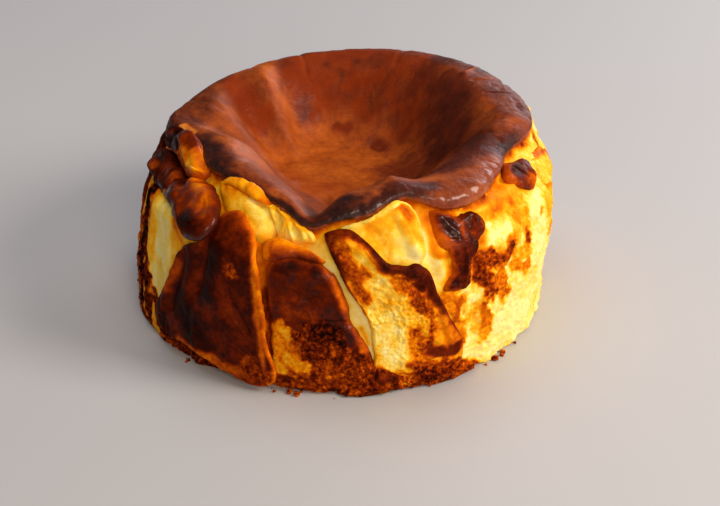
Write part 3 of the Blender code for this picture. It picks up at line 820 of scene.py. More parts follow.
# %% The large flaps at the front
FLAPS = {
    "left_flap": Flap(
        (-125, 28),
        [(-126.8, 55.5), (-126.5, 57.5), (-125, 58.5), (-122, 59), (-119, 58.4), (-116, 56.8), (-113, 54.5),
         (-111, 51.5), (-109.5, 45), (-109, 38.5), (-108.2, 32), (-107.8, 24), (-107.2, 18), (-105.8, 12),
         (-105.3, 7), (-106.5, 3), (-110, 1.4), (-115, 2.4), (-120, 3.6), (-125, 5), (-130, 6.4), (-136, 7),
         (-142, 5), (-146, 5), (-148, 9), (-147.3, 15), (-145.5, 20), (-142, 26.5), (-140, 32),
         (-138.5, 37.5), (-137.5, 42), (-134.5, 46.5), (-131, 49.5), (-128, 51.5)],
        # The paler edge colour, 0.44 on the raised right side, is a painted rim light.
        3.2, 1.2, 0, 1.8, (0.78, 0.10), 0.44,
        [Crease(-119, 55, -122, 34, 8.0, 1.4), Crease(-126, 52, -128, 34, 3.6, -1.8),
         Crease(-129, 34, -131, 16, 3.0, -0.9), Crease(-134, 44, -139, 20, 4.0, -1.6),
         Crease(-117, 35, -112, 24, 1.6, -0.9), Crease(-119, 29, -111, 17, 1.5, -0.8),
         Crease(-138, 34, -143, 16, 4.0, 1.3), Crease(-131, 44, -132, 28, 4.0, 1.0),
         Crease(-130, 24, -128, 8, 5.0, 0.8), Crease(-120, 22, -124, 8, 2.4, -0.8)],
        [Mark(-132, 44, -134, 30, 4.5, 0.80, 0.0), Mark(-137, 38, -140, 28, 2.4, 0.62, 0.0),
         Mark(-144, 18, -142, 10, 3.0, 0.92, 0.3), Mark(-134, 24, -128, 14, 6.0, 0.93, 0.0),
         Mark(-122, 48, -124, 34, 3.0, 0.90, 0.0), Mark(-118, 32, -113, 22, 2.4, 0.70, 0.1),
         Mark(-136, 8, -112, 5.5, 2.2, 0.54, 0.3), Mark(-117.5, 46.5, -116.5, 45, 1.5, 0.62, 1.0),
         # The pale strip down the right edge, from -111 at level 48 to -108 at level 8, is a painted rim light.
         Mark(-111, 48, -108, 8, 1.0, 0.42, 0.2), Mark(-125, 57, -117, 56, 2.2, 0.70, 0.0),
         Mark(-112, 10, -107, 6, 3.0, 0.66, 0.9), Mark(-146, 7, -118, 3, 1.0, 0.80, 0.9)]),
    "middle_flap": Flap(
        (-97, 26),
        [(-108.3, 47), (-108, 49.8), (-107, 51.3), (-105, 52.2), (-102, 52.4), (-98.5, 52), (-95.5, 51.6),
         (-93, 50.6), (-91, 48.5), (-89.5, 45.5), (-88, 40), (-87, 35.5), (-86, 29), (-84.5, 25),
         (-82.5, 20.5), (-81, 15), (-80, 10), (-79.6, 5), (-80.5, 1), (-86, 0.4), (-93, 0.4), (-100, 0.4),
         (-105.5, 0.8), (-107, 4), (-107.2, 19.5), (-107.5, 29), (-108, 38)],
        # The paler edge colour, 0.54 on the raised upper right side, is a painted highlight.
        1.5, 0.7, 70, 2.6, (0.77, 0.08), 0.54,
        [Crease(-108, 30.5, -87, 30, 2.2, -1.8), Crease(-105, 47, -93, 47, 2.6, 0.8),
         Crease(-106, 42, -92, 41, 2.2, -0.7), Crease(-104, 38, -92, 36, 2.6, 0.6),
         Crease(-92, 44, -88, 34, 3.0, 0.9), Crease(-106, 26, -106, 6, 5.0, -2.0)],
        [Mark(-102, 20, -86, 10, 9.0, 0.63, 1.0), Mark(-104.5, 25, -101, 10, 4.8, 0.40, 0.7),
         Mark(-102, 13, -98, 12, 2.0, 0.26, 0.8), Mark(-104, 25, -102, 23, 1.3, 0.26, 0.5),
         Mark(-96, 27, -90, 24, 3.6, 0.74, 1.0), Mark(-103, 34, -96, 33, 2.4, 0.68, 0.2),
         # The near-black band along the top edge, under the middle roll, is painted shade in the crease; the
         # orange marks down the right edge are browning and partly a painted highlight.
         Mark(-107, 50.6, -95, 50, 1.8, 0.90, 0.0), Mark(-90.5, 47, -83, 20, 1.8, 0.50, 0.1),
         Mark(-89, 45, -87, 38, 1.6, 0.34, 0.0), Mark(-105, 3.5, -82, 4, 3.2, 0.68, 1.0),
         Mark(-93, 18, -88, 8, 4.0, 0.60, 1.0), Mark(-106, 12, -104, 8, 1.6, 0.24, 0.7)]),
    "front_flap": Flap(
        (-73, 30),
        [(-93.8, 59.2), (-91.5, 61), (-87, 61.8), (-84.5, 60), (-82, 57.4), (-80, 54.9), (-77, 52.4),
         (-73.5, 51.2), (-69.5, 50.4), (-67, 48), (-65.5, 43.5), (-65.3, 40), (-63.5, 35), (-61.5, 29.5),
         (-59, 23), (-56.5, 17), (-56, 12), (-56, 7.5), (-56.8, 3), (-58.5, 0.8), (-64, 0.4), (-71, 0.4),
         (-77, 0.5), (-80.4, 2), (-81, 7), (-80.6, 13), (-80.8, 18.5), (-81.5, 25.5), (-82.5, 31),
         (-84, 36), (-85.7, 39.5), (-88, 45), (-89.7, 50), (-91.8, 54)],
        2.4, 1.3, 62, 1.5, (0.25, 0.6), 0.78,
        [Crease(-70.5, 42, -69.5, 20, 3.4, -0.9), Crease(-89, 58, -70, 48, 3.4, 1.0),
         Crease(-80, 42, -76, 24, 7.0, -0.7), Crease(-66, 42, -60, 18, 3.0, 0.9),
         Crease(-81, 24, -79, 8, 7.0, -2.2), Crease(-69, 12, -58, 13, 2.4, 0.9)],
        [Mark(-79, 44, -75, 32, 8.0, 0.17, 0.6), Mark(-78, 30, -75, 13, 5.6, 0.08, 0.7),
         Mark(-90, 57, -85, 47, 3.4, 0.62, 0.7), Mark(-87, 48, -83, 40, 2.0, 0.52, 0.7),
         Mark(-93, 60, -85, 60.5, 2.4, 0.76, 0.2), Mark(-85, 59.5, -77, 52.5, 2.6, 0.76, 0.1),
         Mark(-77, 51, -67.5, 47.5, 3.0, 0.78, 0.1), Mark(-71, 46, -67, 40, 3.4, 0.82, 0.2),
         Mark(-66, 42, -58.5, 16, 2.6, 0.76, 0.1), Mark(-75, 46, -70, 38, 2.4, 0.56, 0.8),
         Mark(-70, 38, -66, 30, 2.6, 0.54, 0.9), Mark(-70, 24, -68, 10, 3.0, 0.52, 1.0),
         Mark(-64, 28, -60, 19, 3.4, 0.42, 0.3), Mark(-66, 27, -66, 18, 1.4, 0.66, 0.8),
         Mark(-66, 15, -59, 12, 2.4, 0.78, 0.0), Mark(-70, 10, -58, 6, 3.0, 0.62, 1.0),
         Mark(-80, 3.6, -57, 3.6, 4.4, 0.72, 1.0), Mark(-79, 8, -77, 6, 2.4, 0.78, 1.0),
         Mark(-75, 7, -72, 6, 1.8, 0.46, 1.0), Mark(-93, 58, -86, 40, 0.9, 0.88, 0.0)]),
    "cream_fold": Flap(
        (-78, 59),
        [(-90, 61.8), (-86.5, 63.6), (-83.5, 64.6), (-80.5, 66.2), (-77.5, 68.2), (-74.5, 70), (-71.5, 70),
         (-69.3, 68), (-67.6, 65), (-67, 61.5), (-67.3, 58), (-67.2, 54.5), (-68.4, 50.5), (-73, 49.5),
         (-79, 52), (-84, 57), (-88, 60.4)],
        2.0, 1.0, 60, 1.2, (0.21, 0.0), 0.12,
        [Crease(-74, 69, -70, 55, 3.6, 1.3), Crease(-84, 64, -78, 55, 3.6, -0.8),
         Crease(-80, 60, -70, 53, 3.0, -0.6)],
        [Mark(-81, 63, -75, 60, 3.6, 0.30, 0.0), Mark(-72, 67.5, -70, 63, 2.0, 0.50, 0.0),
         Mark(-75, 57, -71, 53, 3.6, 0.06, 0.0), Mark(-79, 61, -76, 57, 2.4, 0.22, 0.0),
         Mark(-88, 62.4, -76, 68, 1.3, 0.10, 0.2), Mark(-75, 69.4, -72.5, 69.4, 1.4, 0.05, 0.1)]),
}

# %% The crust at the foot, and the folds and knobs under the rim
FLAPS.update({
    "foot_crust": Flap(
        (-73, 3),
        [(-90, 0.4), (-88.5, 2.4), (-85, 3.6), (-82, 4.6), (-80, 7.2), (-77, 9), (-74, 7.4), (-70, 5.4),
         (-66, 6.2), (-61.5, 5.6), (-57, 3.6), (-53, 2.2), (-50, 0.8), (-55, 0.4), (-64, 0.3), (-71, 0.3),
         (-80, 0.3)],
        2.4, 0.2, 90, 3.2, (0.70, 1.0), 0.72, [Crease(-79, 8, -78, 2, 2.4, 0.8),
                                               Crease(-68, 5, -61, 4, 2.0, 0.6)],
        [Mark(-79, 6.4, -76, 6.6, 1.6, 0.78, 0.2), Mark(-86, 2, -84, 2, 1.2, 0.52, 1.0),
         Mark(-73, 3, -70, 3, 1.6, 0.56, 1.0), Mark(-62, 3, -60, 3, 1.2, 0.54, 1.0)]),
    "middle_roll": Flap(
        (-102, 53.2),
        [(-110.5, 53.6), (-109.8, 55.2), (-107.5, 56), (-104.5, 55.8), (-101.5, 54.9), (-98.5, 54.1),
         (-95.5, 53.1), (-93, 52), (-94, 50.9), (-97, 50.8), (-99.5, 51), (-102.5, 51.2), (-105, 50.8),
         (-107, 50.5), (-109.5, 51.2)],
        # Its paler edge colour, 0.36 on the upper side, and the pale mark along its top are a painted
        # highlight; the dark mark along its underside is painted shade.
        3.0, 0.3, 90, 2.4, (0.48, 0.0), 0.36, [Crease(-107, 53.6, -97, 52.6, 2.0, 0.6)],
        [Mark(-109, 55, -98, 53.8, 0.9, 0.36, 0.0), Mark(-107, 51.3, -95, 51.2, 0.7, 0.76, 0.0)]),
    "yellow_roll": Flap(
        (-121, 62),
        [(-135, 61.5), (-135.5, 64.5), (-133, 67.2), (-128, 68.6), (-121, 68.8), (-115.5, 66.8),
         (-112, 64.2), (-109.5, 61.5), (-108, 58.5), (-108.5, 56.5), (-110.5, 54.6), (-114, 54.5),
         (-117, 55.5), (-120.5, 56.5), (-124, 57), (-128, 58), (-132, 59.8)],
        3.4, 1.2, 120, 3.8, (0.22, 0.0), 0.28,
        [Crease(-129, 62, -113, 58.5, 3.4, 0.9), Crease(-122, 68, -112, 63, 3.0, 0.8),
         Crease(-130, 65.5, -115, 62.5, 2.6, -0.8)],
        [Mark(-134, 66.8, -113, 65.6, 2.5, 0.56, 0.0), Mark(-134, 62.5, -127, 62.5, 1.8, 0.40, 0.0),
         Mark(-119, 62, -111, 59, 2.4, 0.12, 0.0), Mark(-129, 66.5, -118, 66, 1.6, 0.30, 0.0)]),
    "cream_lumps": Flap(
        (-105, 60),
        [(-114.5, 63.4), (-112, 64.4), (-107.5, 63.8), (-104, 62.4), (-100.5, 61.4), (-97.5, 59.8),
         (-96, 57.3), (-96.6, 55.8), (-99.5, 55.4), (-102, 55), (-104.5, 56), (-107.5, 56.8), (-110, 58.5),
         (-113, 61)],
        3.0, 0.4, 90, 3.2, (0.13, 0.0), 0.22,
        [Crease(-110.5, 65, -107.5, 58.5, 2.4, -1.4), Crease(-105, 64, -101.5, 57, 2.4, -1.3),
         Crease(-99.8, 62, -98, 57, 1.8, -0.8)],
        [Mark(-113, 64.3, -99, 61.2, 1.2, 0.40, 0.0), Mark(-98, 56.5, -95, 55.6, 1.0, 0.26, 0.0)]),
    "left_pouch": Flap(
        (-144, 56.5),
        [(-163.5, 52.6), (-160.5, 54.2), (-157.5, 56.5), (-153.5, 58.8), (-146, 61), (-138, 61.2),
         (-132.5, 59.8), (-128, 58), (-125.5, 56.2), (-124.2, 53.4), (-125.5, 51.4), (-129.5, 50.7),
         (-133.5, 51), (-139, 52), (-147.5, 53), (-157, 52.2)],
        4.6, 1.6, -30, 3.9, (0.56, 0.0), 0.78,
        [Crease(-158, 55.5, -142, 55.5, 2.0, 1.0), Crease(-152, 57.6, -136, 53.6, 1.7, -1.2),
         Crease(-148, 59.4, -133, 57.6, 2.4, 1.0), Crease(-131.5, 56.6, -130.5, 52.6, 1.6, -0.8)],
        [Mark(-162, 54, -150, 58.6, 1.9, 0.86, 0.0), Mark(-152, 54, -140, 52.8, 1.7, 0.84, 0.0),
         # The orange marks high on the pouch are a painted highlight where it catches the light.
         Mark(-147, 59.4, -134, 58.8, 2.4, 0.42, 0.0), Mark(-143, 60, -136, 59.6, 1.3, 0.34, 0.0),
         Mark(-146, 56.6, -138, 55.4, 1.5, 0.70, 0.0), Mark(-134.5, 57, -130, 55.4, 1.7, 0.54, 0.0),
         Mark(-136, 52.6, -126, 52, 1.7, 0.93, 0.0)]),
    "left_lobe": Flap(
        (-168, 53.6),
        [(-153.5, 55), (-154, 56.8), (-157.5, 57.8), (-165, 56.8), (-171, 56.6), (-176.5, 57.2),
         (-181.5, 55.8), (-182.5, 53), (-181.5, 50.2), (-180, 48.2), (-172, 49.6), (-161, 51.6),
         (-155, 53.2)],
        4.0, 0.6, 180, 3.2, (0.84, 0.0), 0.90,
        [Crease(-177, 54.5, -157, 55.5, 1.8, 1.0), Crease(-171, 56, -167, 51, 1.6, -1.2)],
        [Mark(-180, 50, -172, 51, 1.2, 0.62, 0.3), Mark(-160, 55.5, -154.5, 55.6, 1.3, 0.60, 0.0),
         Mark(-170, 53.8, -163, 54.6, 1.3, 0.68, 0.0)]),
    "left_petal": Flap(
        (-161, 64),
        [(-174, 66.5), (-171.5, 69.6), (-168, 71.6), (-163.5, 72), (-158.5, 70.8), (-154, 69.2),
         (-150, 67.4), (-146, 65.4), (-143.5, 63.4), (-144, 61.2), (-147, 59.6), (-151.5, 58.6),
         (-157, 57.8), (-163, 57.3), (-169.5, 57.4), (-174.6, 60), (-175.6, 63.5)],
        5.2, 1.0, -90, 4.2, (0.46, 0.0), 0.56,
        [Crease(-166, 70, -148, 61, 3.0, 1.2), Crease(-170, 67, -164, 59, 2.0, -1.2)],
        [Mark(-174, 62, -168, 68.5, 3.4, 0.88, 0.0), Mark(-169, 71, -158, 70.8, 2.0, 0.72, 0.0),
         Mark(-163, 64, -158, 61, 2.6, 0.48, 0.0), Mark(-153, 66, -147, 63.4, 2.0, 0.24, 0.0),
         Mark(-152, 61.4, -147, 61, 1.5, 0.20, 0.0), Mark(-172, 58.6, -163, 58.6, 1.6, 0.84, 0.0)]),
    "left_bead": Flap(
        (-176.5, 63.5),
        [(-178.5, 57.5), (-181, 60), (-181, 64), (-178.6, 68), (-174.5, 70), (-172, 69), (-172, 65),
         (-174, 60.5)],
        4.0, 0.6, 180, 3.0, (0.92, 0.0), 0.88, [Crease(-180, 63, -174, 65, 1.6, -0.9)],
        [Mark(-178, 66.5, -175, 67.5, 1.0, 0.66, 0.0)]),
    "right_nub": Flap(
        (-21, 60),
        [(-29.5, 62.6), (-26.5, 64.6), (-23, 65), (-19, 63.2), (-15.5, 61.8), (-12.5, 61.4), (-11, 59.4),
         (-12.4, 57.8), (-13, 56.4), (-16, 55.4), (-20, 55.2), (-23, 56.6), (-26, 58.8), (-29, 60.8)],
        3.4, 0.6, 120, 3.0, (0.74, 0.0), 0.58,
        [Crease(-21, 63, -18, 56, 1.6, -1.6), Crease(-16.5, 60.5, -16, 56, 1.3, -1.0)],
        [Mark(-29, 62, -25, 60, 1.3, 0.50, 0.1), Mark(-21, 57, -16, 55.6, 1.3, 0.50, 0.3),
         Mark(-24, 61, -19, 60.4, 1.8, 0.84, 0.0)]),
    "right_knob": Flap(
        (-4.5, 56),
        [(-13, 53), (-10.5, 57), (-6, 60.4), (-1, 60), (4, 57.6), (6, 54.5), (2, 51), (-5, 50.6),
         (-10, 51.4)],
        1.0, 0.5, 30, 2.2, (0.20, 0.5), 0.46,
        [Crease(-8, 57, 2, 55, 3.0, -0.6)],
        [Mark(-6, 59.8, 4.5, 56, 1.3, 0.54, 0.1), Mark(4.5, 56, 3, 52, 1.2, 0.50, 0.1)]),
    "dark_fold": Flap(
        (-56, 57),
        [(-62.5, 64.5), (-60, 64.8), (-57.5, 63.4), (-54.8, 61.8), (-52, 61.8), (-49.4, 62), (-47.2, 60),
         (-46, 57), (-47, 54.8), (-49.8, 53), (-52.4, 51.2), (-56, 50.6), (-58.5, 51.4), (-60.4, 52.2),
         (-62.4, 53.8), (-63.4, 56.5), (-63.2, 60), (-63, 62.8)],
        2.0, 0.4, 180, 3.2, (0.80, 0.05), 0.50,
        [Crease(-61, 62, -57, 56, 2.6, 0.9), Crease(-49.6, 60, -53, 54, 2.0, 0.8),
         Crease(-60, 55, -55, 53.4, 1.2, 0.7)],
        [Mark(-61, 63, -57, 57, 2.2, 0.88, 0.0), Mark(-55, 59, -56, 54, 1.6, 0.60, 0.1),
         Mark(-50, 60, -52, 55, 1.8, 0.74, 0.4), Mark(-62, 56, -58, 52.2, 1.4, 0.54, 0.0),
         Mark(-47.6, 59, -48, 55.6, 1.0, 0.56, 0.6), Mark(-57, 54, -54, 52, 1.4, 0.84, 0.1)]),
    "dark_fold_stem": Flap(
        (-57.4, 44),
        [(-60.4, 54), (-55.5, 55.4), (-50.6, 53.4), (-52.6, 49.5), (-53.9, 44), (-53.9, 40), (-55, 37),
         (-57.5, 36), (-60.5, 36.8), (-62.6, 38.4), (-61.6, 41.4), (-60, 44.4), (-59.8, 48)],
        1.9, 0.3, 180, 3.0, (0.80, 0.15), 0.48,
        [Crease(-56, 51, -56.8, 38, 1.5, 0.8), Crease(-60, 41, -56, 39, 1.2, -0.6)],
        [Mark(-60.4, 39, -57, 37.4, 1.6, 0.84, 0.2), Mark(-54.4, 48, -54.6, 38, 0.8, 0.62, 0.6)]),
})

# %% [markdown]
# ## The sides and the back
# The same paper was folded all round, so the flaps of the sides and the back take their shapes from those of
# the front. Each is turned about the cake, some as a mirror image, and their own noise makes them differ.

# %% Flaps on the sides and at the back
def moved(name, turn, mirrored=False, down=0.0):
    flap = FLAPS[name]
    middle, level = flap.middle

    def to(angle):
        return turn + (2 * middle - angle if mirrored else angle)

    def moved_stroke(stroke):
        return stroke._replace(angle=to(stroke.angle), level=stroke.level - down,
                               end_angle=to(stroke.end_angle), end_level=stroke.end_level - down)

    return flap._replace(middle=(to(middle), level - down),
                         outline=[(to(a), z - down) for a, z in flap.outline],
                         side=180 - flap.side if mirrored else flap.side,
                         creases=[moved_stroke(c) for c in flap.creases],
                         marks=[moved_stroke(m) for m in flap.marks])


FLAPS.update({
    "right_back_flap": moved("front_flap", 108, mirrored=True),
    "back_flap": moved("left_flap", 208),
    "back_left_flap": moved("middle_flap", 224, mirrored=True),
    "left_back_flap": moved("front_flap", 229),
    "right_back_cream_fold": moved("cream_fold", 91, down=4),
    "back_dark_fold": moved("dark_fold", 115, mirrored=True),
    "back_nub": moved("right_nub", 128),
    "back_left_roll": moved("yellow_roll", 260, down=4),
})

# %% Make the flaps
GLOSS = {"left_pouch": 0.8, "left_petal": 0.5, "left_lobe": 0.3, "dark_fold": 0.6, "middle_flap": 0.3,
         "yellow_roll": 0.2, "cream_lumps": 0.2, "middle_roll": 0.25, "right_nub": 0.4}
DULL = 0.05              # the gloss of every other flap
SMALL_FLAP = 16.0        # mean reach in mm below which a flap takes a coarser sphere
FINE_SPHERE = (220, 90)  # segments around, and rings
COARSE_SPHERE = (120, 56)
flap_pieces = []
for number, (name, flap) in enumerate(FLAPS.items()):
    mean_reach = outline_reach(flap, np.linspace(-pi, pi, 36)).mean()
    around, rings = FINE_SPHERE if mean_reach > SMALL_FLAP else COARSE_SPHERE
    flap_pieces.append(make_flap(name, flap, around, rings, 100 + 7 * number))
print("flaps:", len(flap_pieces), "with", sum(len(p.data.polygons) for p in flap_pieces), "faces")

# %% [markdown]
# ## Loose crumbs
# A few crumbs lie at the foot where the paper was pulled away. Each is a small icosphere pushed out of round,
# and all of them are joined in one mesh. A seeded generator gives the same crumbs every time.

# %% Scatter the crumbs
CRUMBS = [(-104, 6, 4), (-95, 24, 6), (-58, 26, 4), (-40, 14, 5), (-132, 16, 2), (70, 60, 8), (150, 50, 7)]
CRUMB_SIZE = (0.35, 1.1)
CRUMB_REACH = 3.5        # mm from the foot to the farthest crumb
CRUMB_SETTLE = 0.62      # a crumb's middle is this share of its radius above the table
CRUMB_CHIP = 0.28        # and its points are moved by this share
chance = np.random.default_rng(5)
bm = bmesh.new()
for middle, spread, count in CRUMBS:
    for _ in range(count):
        turn = radians(middle + chance.uniform(-0.5, 0.5) * spread)
        size = chance.uniform(*CRUMB_SIZE) ** 1.5
        away = FOOT_RADIUS + 0.6 + CRUMB_REACH * chance.random() ** 2
        place = Matrix.Translation((away * cos(turn), away * sin(turn), CRUMB_SETTLE * size))
        made = bmesh.ops.create_icosphere(bm, subdivisions=2, radius=size, matrix=place)
        for vertex in made["verts"]:
            vertex.co += Vector(chance.uniform(-CRUMB_CHIP, CRUMB_CHIP, 3) * size)
            vertex.co.z = max(vertex.co.z, 0.05)
crumbs = finished_object("loose_crumbs", bm)
points = read_points(crumbs)
write_values(crumbs, bake=0.62 + 0.2 * lumps(points, 3.0, 9), crumb=np.ones(len(points)))
write_points(crumbs, points)
print("crumbs:", sum(count for _, _, count in CRUMBS))

# %% [markdown]
# ## Node helpers
# One function adds a node with its settings and links. Colours are written as sRGB hex values, the way a colour
# picker shows them, and one function turns them to the linear values that shaders use.

# %% Colours and nodes
def linear(hex_colour):
    channels = [int(hex_colour[i:i + 2], 16) / 255 for i in (1, 3, 5)]
    return tuple(c / 12.92 if c <= 0.04045 else ((c + 0.055) / 1.055) ** 2.4 for c in channels) + (1.0,)


def add_node(tree, kind, inputs=(), **settings):
    """Adds a node. Settings are its properties, and inputs its sockets: a value, or an output to link."""
    node = tree.nodes.new(kind)
    for name, value in settings.items():
        setattr(node, name, value)
    for socket, value in dict(inputs).items():
        if isinstance(value, bpy.types.NodeSocket):
            tree.links.new(value, node.inputs[socket])
        else:
            node.inputs[socket].default_value = value
    return node


def fill_ramp(node, stops):
    ramp = node.color_ramp
    while len(ramp.elements) < len(stops):
        ramp.elements.new(0.5)
    for element, (place, colour) in zip(ramp.elements, stops):
        element.position = place
        element.color = linear(colour)
    return node


def new_material(name):
    material = bpy.data.materials.new(name)
    material.use_nodes = True
    tree = material.node_tree
    tree.nodes.clear()
    return material, tree


# %% [markdown]
# ## Baked custard
# Cream cheese custard is dense and pale, and it lets a little light in, so it has some subsurface scattering.
# Where it touched hot paper it browned by steps: straw, gold, amber, chestnut and near black. A ramp holds
# those steps and the bake value reads from it, with noise added so that no area has one flat colour. Skin is
# smooth and slightly oily. Torn custard is matt and full of pores.

# %% The custard's material
BAKE_STEPS = [(0.0, "#FFE796"), (0.10, "#FED352"), (0.22, "#F9AC14"), (0.36, "#E88002"), (0.47, "#C65A02"),
              (0.58, "#9C3A04"), (0.70, "#6E1F02"), (0.82, "#400E02"), (0.93, "#220601"), (1.0, "#0D0301")]


def custard_material():
    material, tree = new_material("baked_custard")
    place = add_node(tree, "ShaderNodeTexCoord").outputs["Object"]
    bake = add_node(tree, "ShaderNodeAttribute", attribute_name="bake").outputs["Fac"]
    crumb = add_node(tree, "ShaderNodeAttribute", attribute_name="crumb").outputs["Fac"]
    mottle = add_node(tree, "ShaderNodeTexNoise", {"Vector": place, "Scale": 1 / (7 * MM), "Detail": 5.0,
                                                   "Roughness": 0.6})
    speck = add_node(tree, "ShaderNodeTexNoise", {"Vector": place, "Scale": 1 / (1.7 * MM), "Detail": 4.0,
                                                  "Roughness": 0.65})
    pores = add_node(tree, "ShaderNodeTexVoronoi", {"Vector": place, "Scale": 1 / (1.6 * MM)})
    uneven = add_node(tree, "ShaderNodeMath", {0: mottle.outputs["Fac"], 1: 0.5}, operation="SUBTRACT")
    broken = add_node(tree, "ShaderNodeMath", {0: speck.outputs["Fac"], 1: 0.5}, operation="SUBTRACT")
    contrast = add_node(tree, "ShaderNodeMath", {0: bake, 1: 1.3, 2: 0.1}, operation="MULTIPLY_ADD")
    strength = add_node(tree, "ShaderNodeMath", {0: crumb, 1: contrast.outputs[0], 2: 0.14},
                        operation="MULTIPLY_ADD")
    step_one = add_node(tree, "ShaderNodeMath", {0: uneven.outputs[0], 1: 0.50, 2: bake},
                        operation="MULTIPLY_ADD")
    step_two = add_node(tree, "ShaderNodeMath", {0: broken.outputs[0], 1: strength.outputs[0],
                                                 2: step_one.outputs[0]}, operation="MULTIPLY_ADD")
    colour = fill_ramp(add_node(tree, "ShaderNodeValToRGB", {"Fac": step_two.outputs[0]}), BAKE_STEPS)
    dull = add_node(tree, "ShaderNodeMapRange", {"Value": crumb, "To Min": 0.46, "To Max": 0.85})
    gloss = add_node(tree, "ShaderNodeAttribute", attribute_name="gloss").outputs["Fac"]
    oily = add_node(tree, "ShaderNodeMapRange", {"Value": mottle.outputs["Fac"], "From Min": 0.46,
                                                 "From Max": 0.6})
    glaze = add_node(tree, "ShaderNodeMath", {0: gloss, 1: oily.outputs[0]}, operation="MULTIPLY")
    fine = add_node(tree, "ShaderNodeTexNoise", {"Vector": place, "Scale": 1 / (0.8 * MM), "Detail": 3.0})
    sponge = add_node(tree, "ShaderNodeMath", {0: speck.outputs["Fac"], 1: pores.outputs["Distance"]},
                      operation="ADD")
    depth = add_node(tree, "ShaderNodeMath", {0: sponge.outputs[0], 1: crumb}, operation="MULTIPLY")
    relief = add_node(tree, "ShaderNodeMath", {0: fine.outputs["Fac"], 1: 0.25, 2: depth.outputs[0]},
                      operation="MULTIPLY_ADD")
    bump = add_node(tree, "ShaderNodeBump", {"Height": relief.outputs[0], "Strength": 0.6,
                                             "Distance": 0.8 * MM})
    skin = add_node(tree, "ShaderNodeBsdfPrincipled", {
        "Base Color": colour.outputs["Color"], "Roughness": dull.outputs["Result"],
        "Normal": bump.outputs["Normal"], "IOR": 1.45, "Subsurface Weight": 0.2,
        "Subsurface Radius": (1.0, 0.55, 0.2), "Subsurface Scale": 1.8 * MM, "Specular IOR Level": 0.04,
        "Coat Weight": glaze.outputs[0], "Coat Roughness": 0.22, "Coat IOR": 1.45})
    add_node(tree, "ShaderNodeOutputMaterial", {"Surface": skin.outputs["BSDF"]})
    return material


# %% [markdown]
# ## Burnt crust
# The top is a leathery skin of caramel. It is chestnut brown where it is thick and dry, and glows red-brown
# on the steep walls of the dish, where it is thin and oily. The rolled edge is burnt almost black, and glossy.

# %% The crust's material
CRUST_STEPS_OF_BAKE = [(0.0, "#E09238"), (0.25, "#C4661A"), (0.40, "#AA5010"), (0.52, "#8C3E0C"),
                       (0.62, "#6E2C08"), (0.74, "#481604"), (0.86, "#2A0A03"), (1.0, "#120402")]
AMBER = "#8E2E00"


